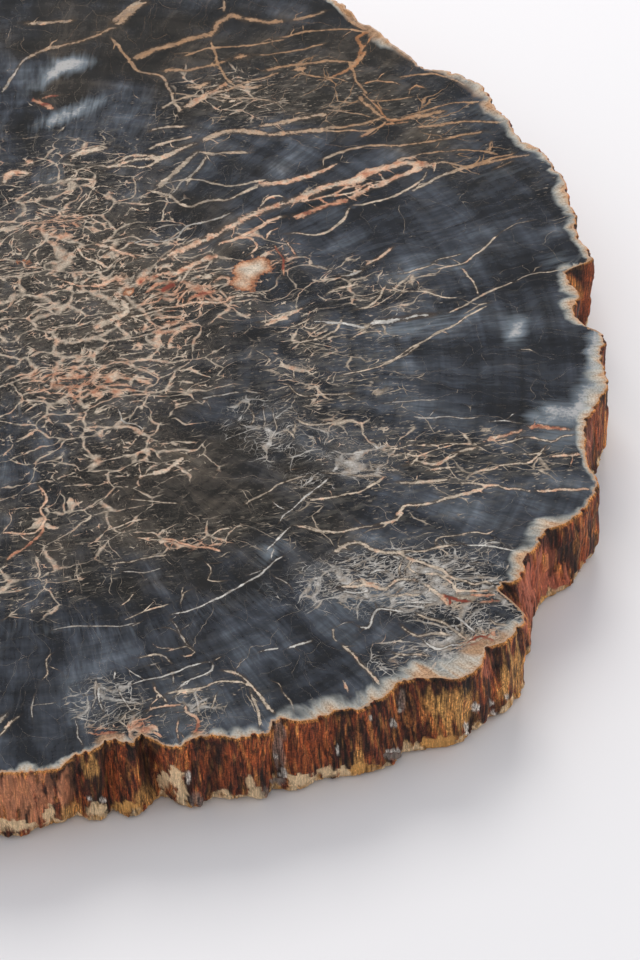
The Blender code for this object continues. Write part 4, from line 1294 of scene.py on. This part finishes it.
def barkFinish():
    # Petrified bark and sapwood, split and weathered: iron-stained chert with the grain of
    # the wood's fibres. The eye gets dry upright streaks, hardly any shine, and pale chips.
    material = bpy.data.materials.new("petrifiedBark")
    material.use_nodes = True
    tree = material.node_tree
    shader = tree.nodes["Principled BSDF"]
    add = partial(addNode, tree)
    place = add("TexCoord").outputs["Object"]
    spot = add("VectorMath", place, 1000.0, operation="SCALE")
    grains = {}
    gain = 1.0
    for name, (lumps, detail, rough, gains) in weathered["noises"].items():
        space = add("Mapping", {"Vector": spot, "Scale": lumps}, vector_type="TEXTURE")
        grains[name] = add("TexNoise", {"Vector": space, "Scale": 1.0, "Detail": detail,
                                        "Roughness": rough})
        share = add("MapRange", grains[name], *gains, interpolation_type="LINEAR")
        gain = add("Math", share, gain, operation="MULTIPLY")
    paint = add("Attribute", attribute_name="barkPaint")
    gain = add("Mix", paint.outputs["Alpha"], weathered["bareChip"], gain, data_type="FLOAT")
    tone = add("VectorMath", paint.outputs["Color"], gain, operation="SCALE")
    tree.links.new(tone.outputs[0], shader.inputs["Base Color"])
    for socket, value in weathered["shader"].items():
        shader.inputs[socket].default_value = value
    both = add("Math", grains["streaks"], grains["grit"], operation="ADD")
    strength, height = weathered["bump"]
    bump = add("Bump", {"Height": both, "Strength": strength, "Distance": height * mm})
    tree.links.new(bump.outputs[0], shader.inputs["Normal"])
    return material


board = buildSlab()
board.data.materials.append(polishedFinish("polishedPetrifiedWood", polish["roughness"]))
board.data.materials.append(barkFinish())
board.data.materials.append(polishedFinish("honedPetrifiedWood", polish["honed"]))
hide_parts(slab["node"])
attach(board, "root")
print("finishes: done")


# Studio: a white table in a white room, with one big window high behind the board

studio = {
    "tableSize": 6000,
    "paper": {"Base Color": "#e6e5e7", "Roughness": 0.9, "Specular IOR Level": 0.1},
    "room": ("#f4f5f8", 0.91),
    "brightSide": ((-0.2, 0.9, 0.3), 0.6),     # where its light side lies, and how much lighter
    "dullPatch": ((0.05, 0.72, 0.70), 0.22),   # where its dull patch lies, and what is left there
    "dullEdge": (0.86, 0.97),                  # cosines between which that patch sets in
    "window": {"at": (-60, 1311, 1297), "size": (900, 900), "power": 19, "colour": "#fffbf6"},
}


def windowLight():
    facts = studio["window"]
    lamp = bpy.data.lights.new("window", "AREA")
    lamp.shape = "RECTANGLE"
    lamp.size, lamp.size_y = (edge * mm for edge in facts["size"])
    lamp.energy = facts["power"]
    lamp.color = linear(facts["colour"])
    light = bpy.data.objects.new("window", lamp)
    light.location = Vector(facts["at"]) * mm
    toBoard = Vector(aim.tolist()) * mm - light.location
    light.visible_glossy = False        # a polarising filter takes its glare off the polish
    light.rotation_euler = toBoard.to_track_quat("-Z", "Y").to_euler()
    bpy.context.scene.collection.objects.link(light)


def roomLight():
    # a white room, lighter on one side and dull in one patch
    room = bpy.data.worlds.new("studioRoom")
    room.use_nodes = True
    background = room.node_tree.nodes["Background"]
    add = partial(addNode, room.node_tree)
    ways = add("TexCoord").outputs["Generated"]
    colour, glow = studio["room"]
    side, extra = studio["brightSide"]
    patch, left = studio["dullPatch"]
    facing = add("VectorMath", ways, patch, operation="DOT_PRODUCT")
    dull = add("MapRange", facing, *studio["dullEdge"], 1.0, left)
    facing = add("VectorMath", ways, side, operation="DOT_PRODUCT")
    gain = add("Math", facing, glow * extra, glow)
    strength = add("Math", dull, gain, operation="MULTIPLY")
    background.inputs["Color"].default_value = (*linear(colour), 1)
    room.node_tree.links.new(strength.outputs[0], background.inputs["Strength"])
    bpy.context.scene.world = room


def buildStudio():
    bpy.ops.mesh.primitive_plane_add(size=studio["tableSize"] * mm)
    table = bpy.context.object
    table.name = "whiteTable"
    # Background paper, uncoated: an even white with next to no shine
    paper = bpy.data.materials.new("mattPaper")
    paper.use_nodes = True
    for socket, value in studio["paper"].items():
        value = (*linear(value), 1) if isinstance(value, str) else value
        paper.node_tree.nodes["Principled BSDF"].inputs[socket].default_value = value
    table.data.materials.append(paper)
    roomLight()
    windowLight()
    lens = bpy.data.cameras.new("studioCamera")
    lens.lens = lensAndPlace["lens"]
    lens.sensor_width = lensAndPlace["sensor"]
    lens.clip_start = lensAndPlace["clipStart"] * mm
    stand = bpy.data.objects.new("studioCamera", lens)
    stand.location = Vector(eye.tolist()) * mm
    stand.rotation_euler = (math.pi / 2 - tilt, 0, 0)
    bpy.context.scene.collection.objects.link(stand)
    bpy.context.scene.camera = stand
    bpy.context.scene.view_settings.view_transform = "Standard"
    print("studio: done")


buildStudio()
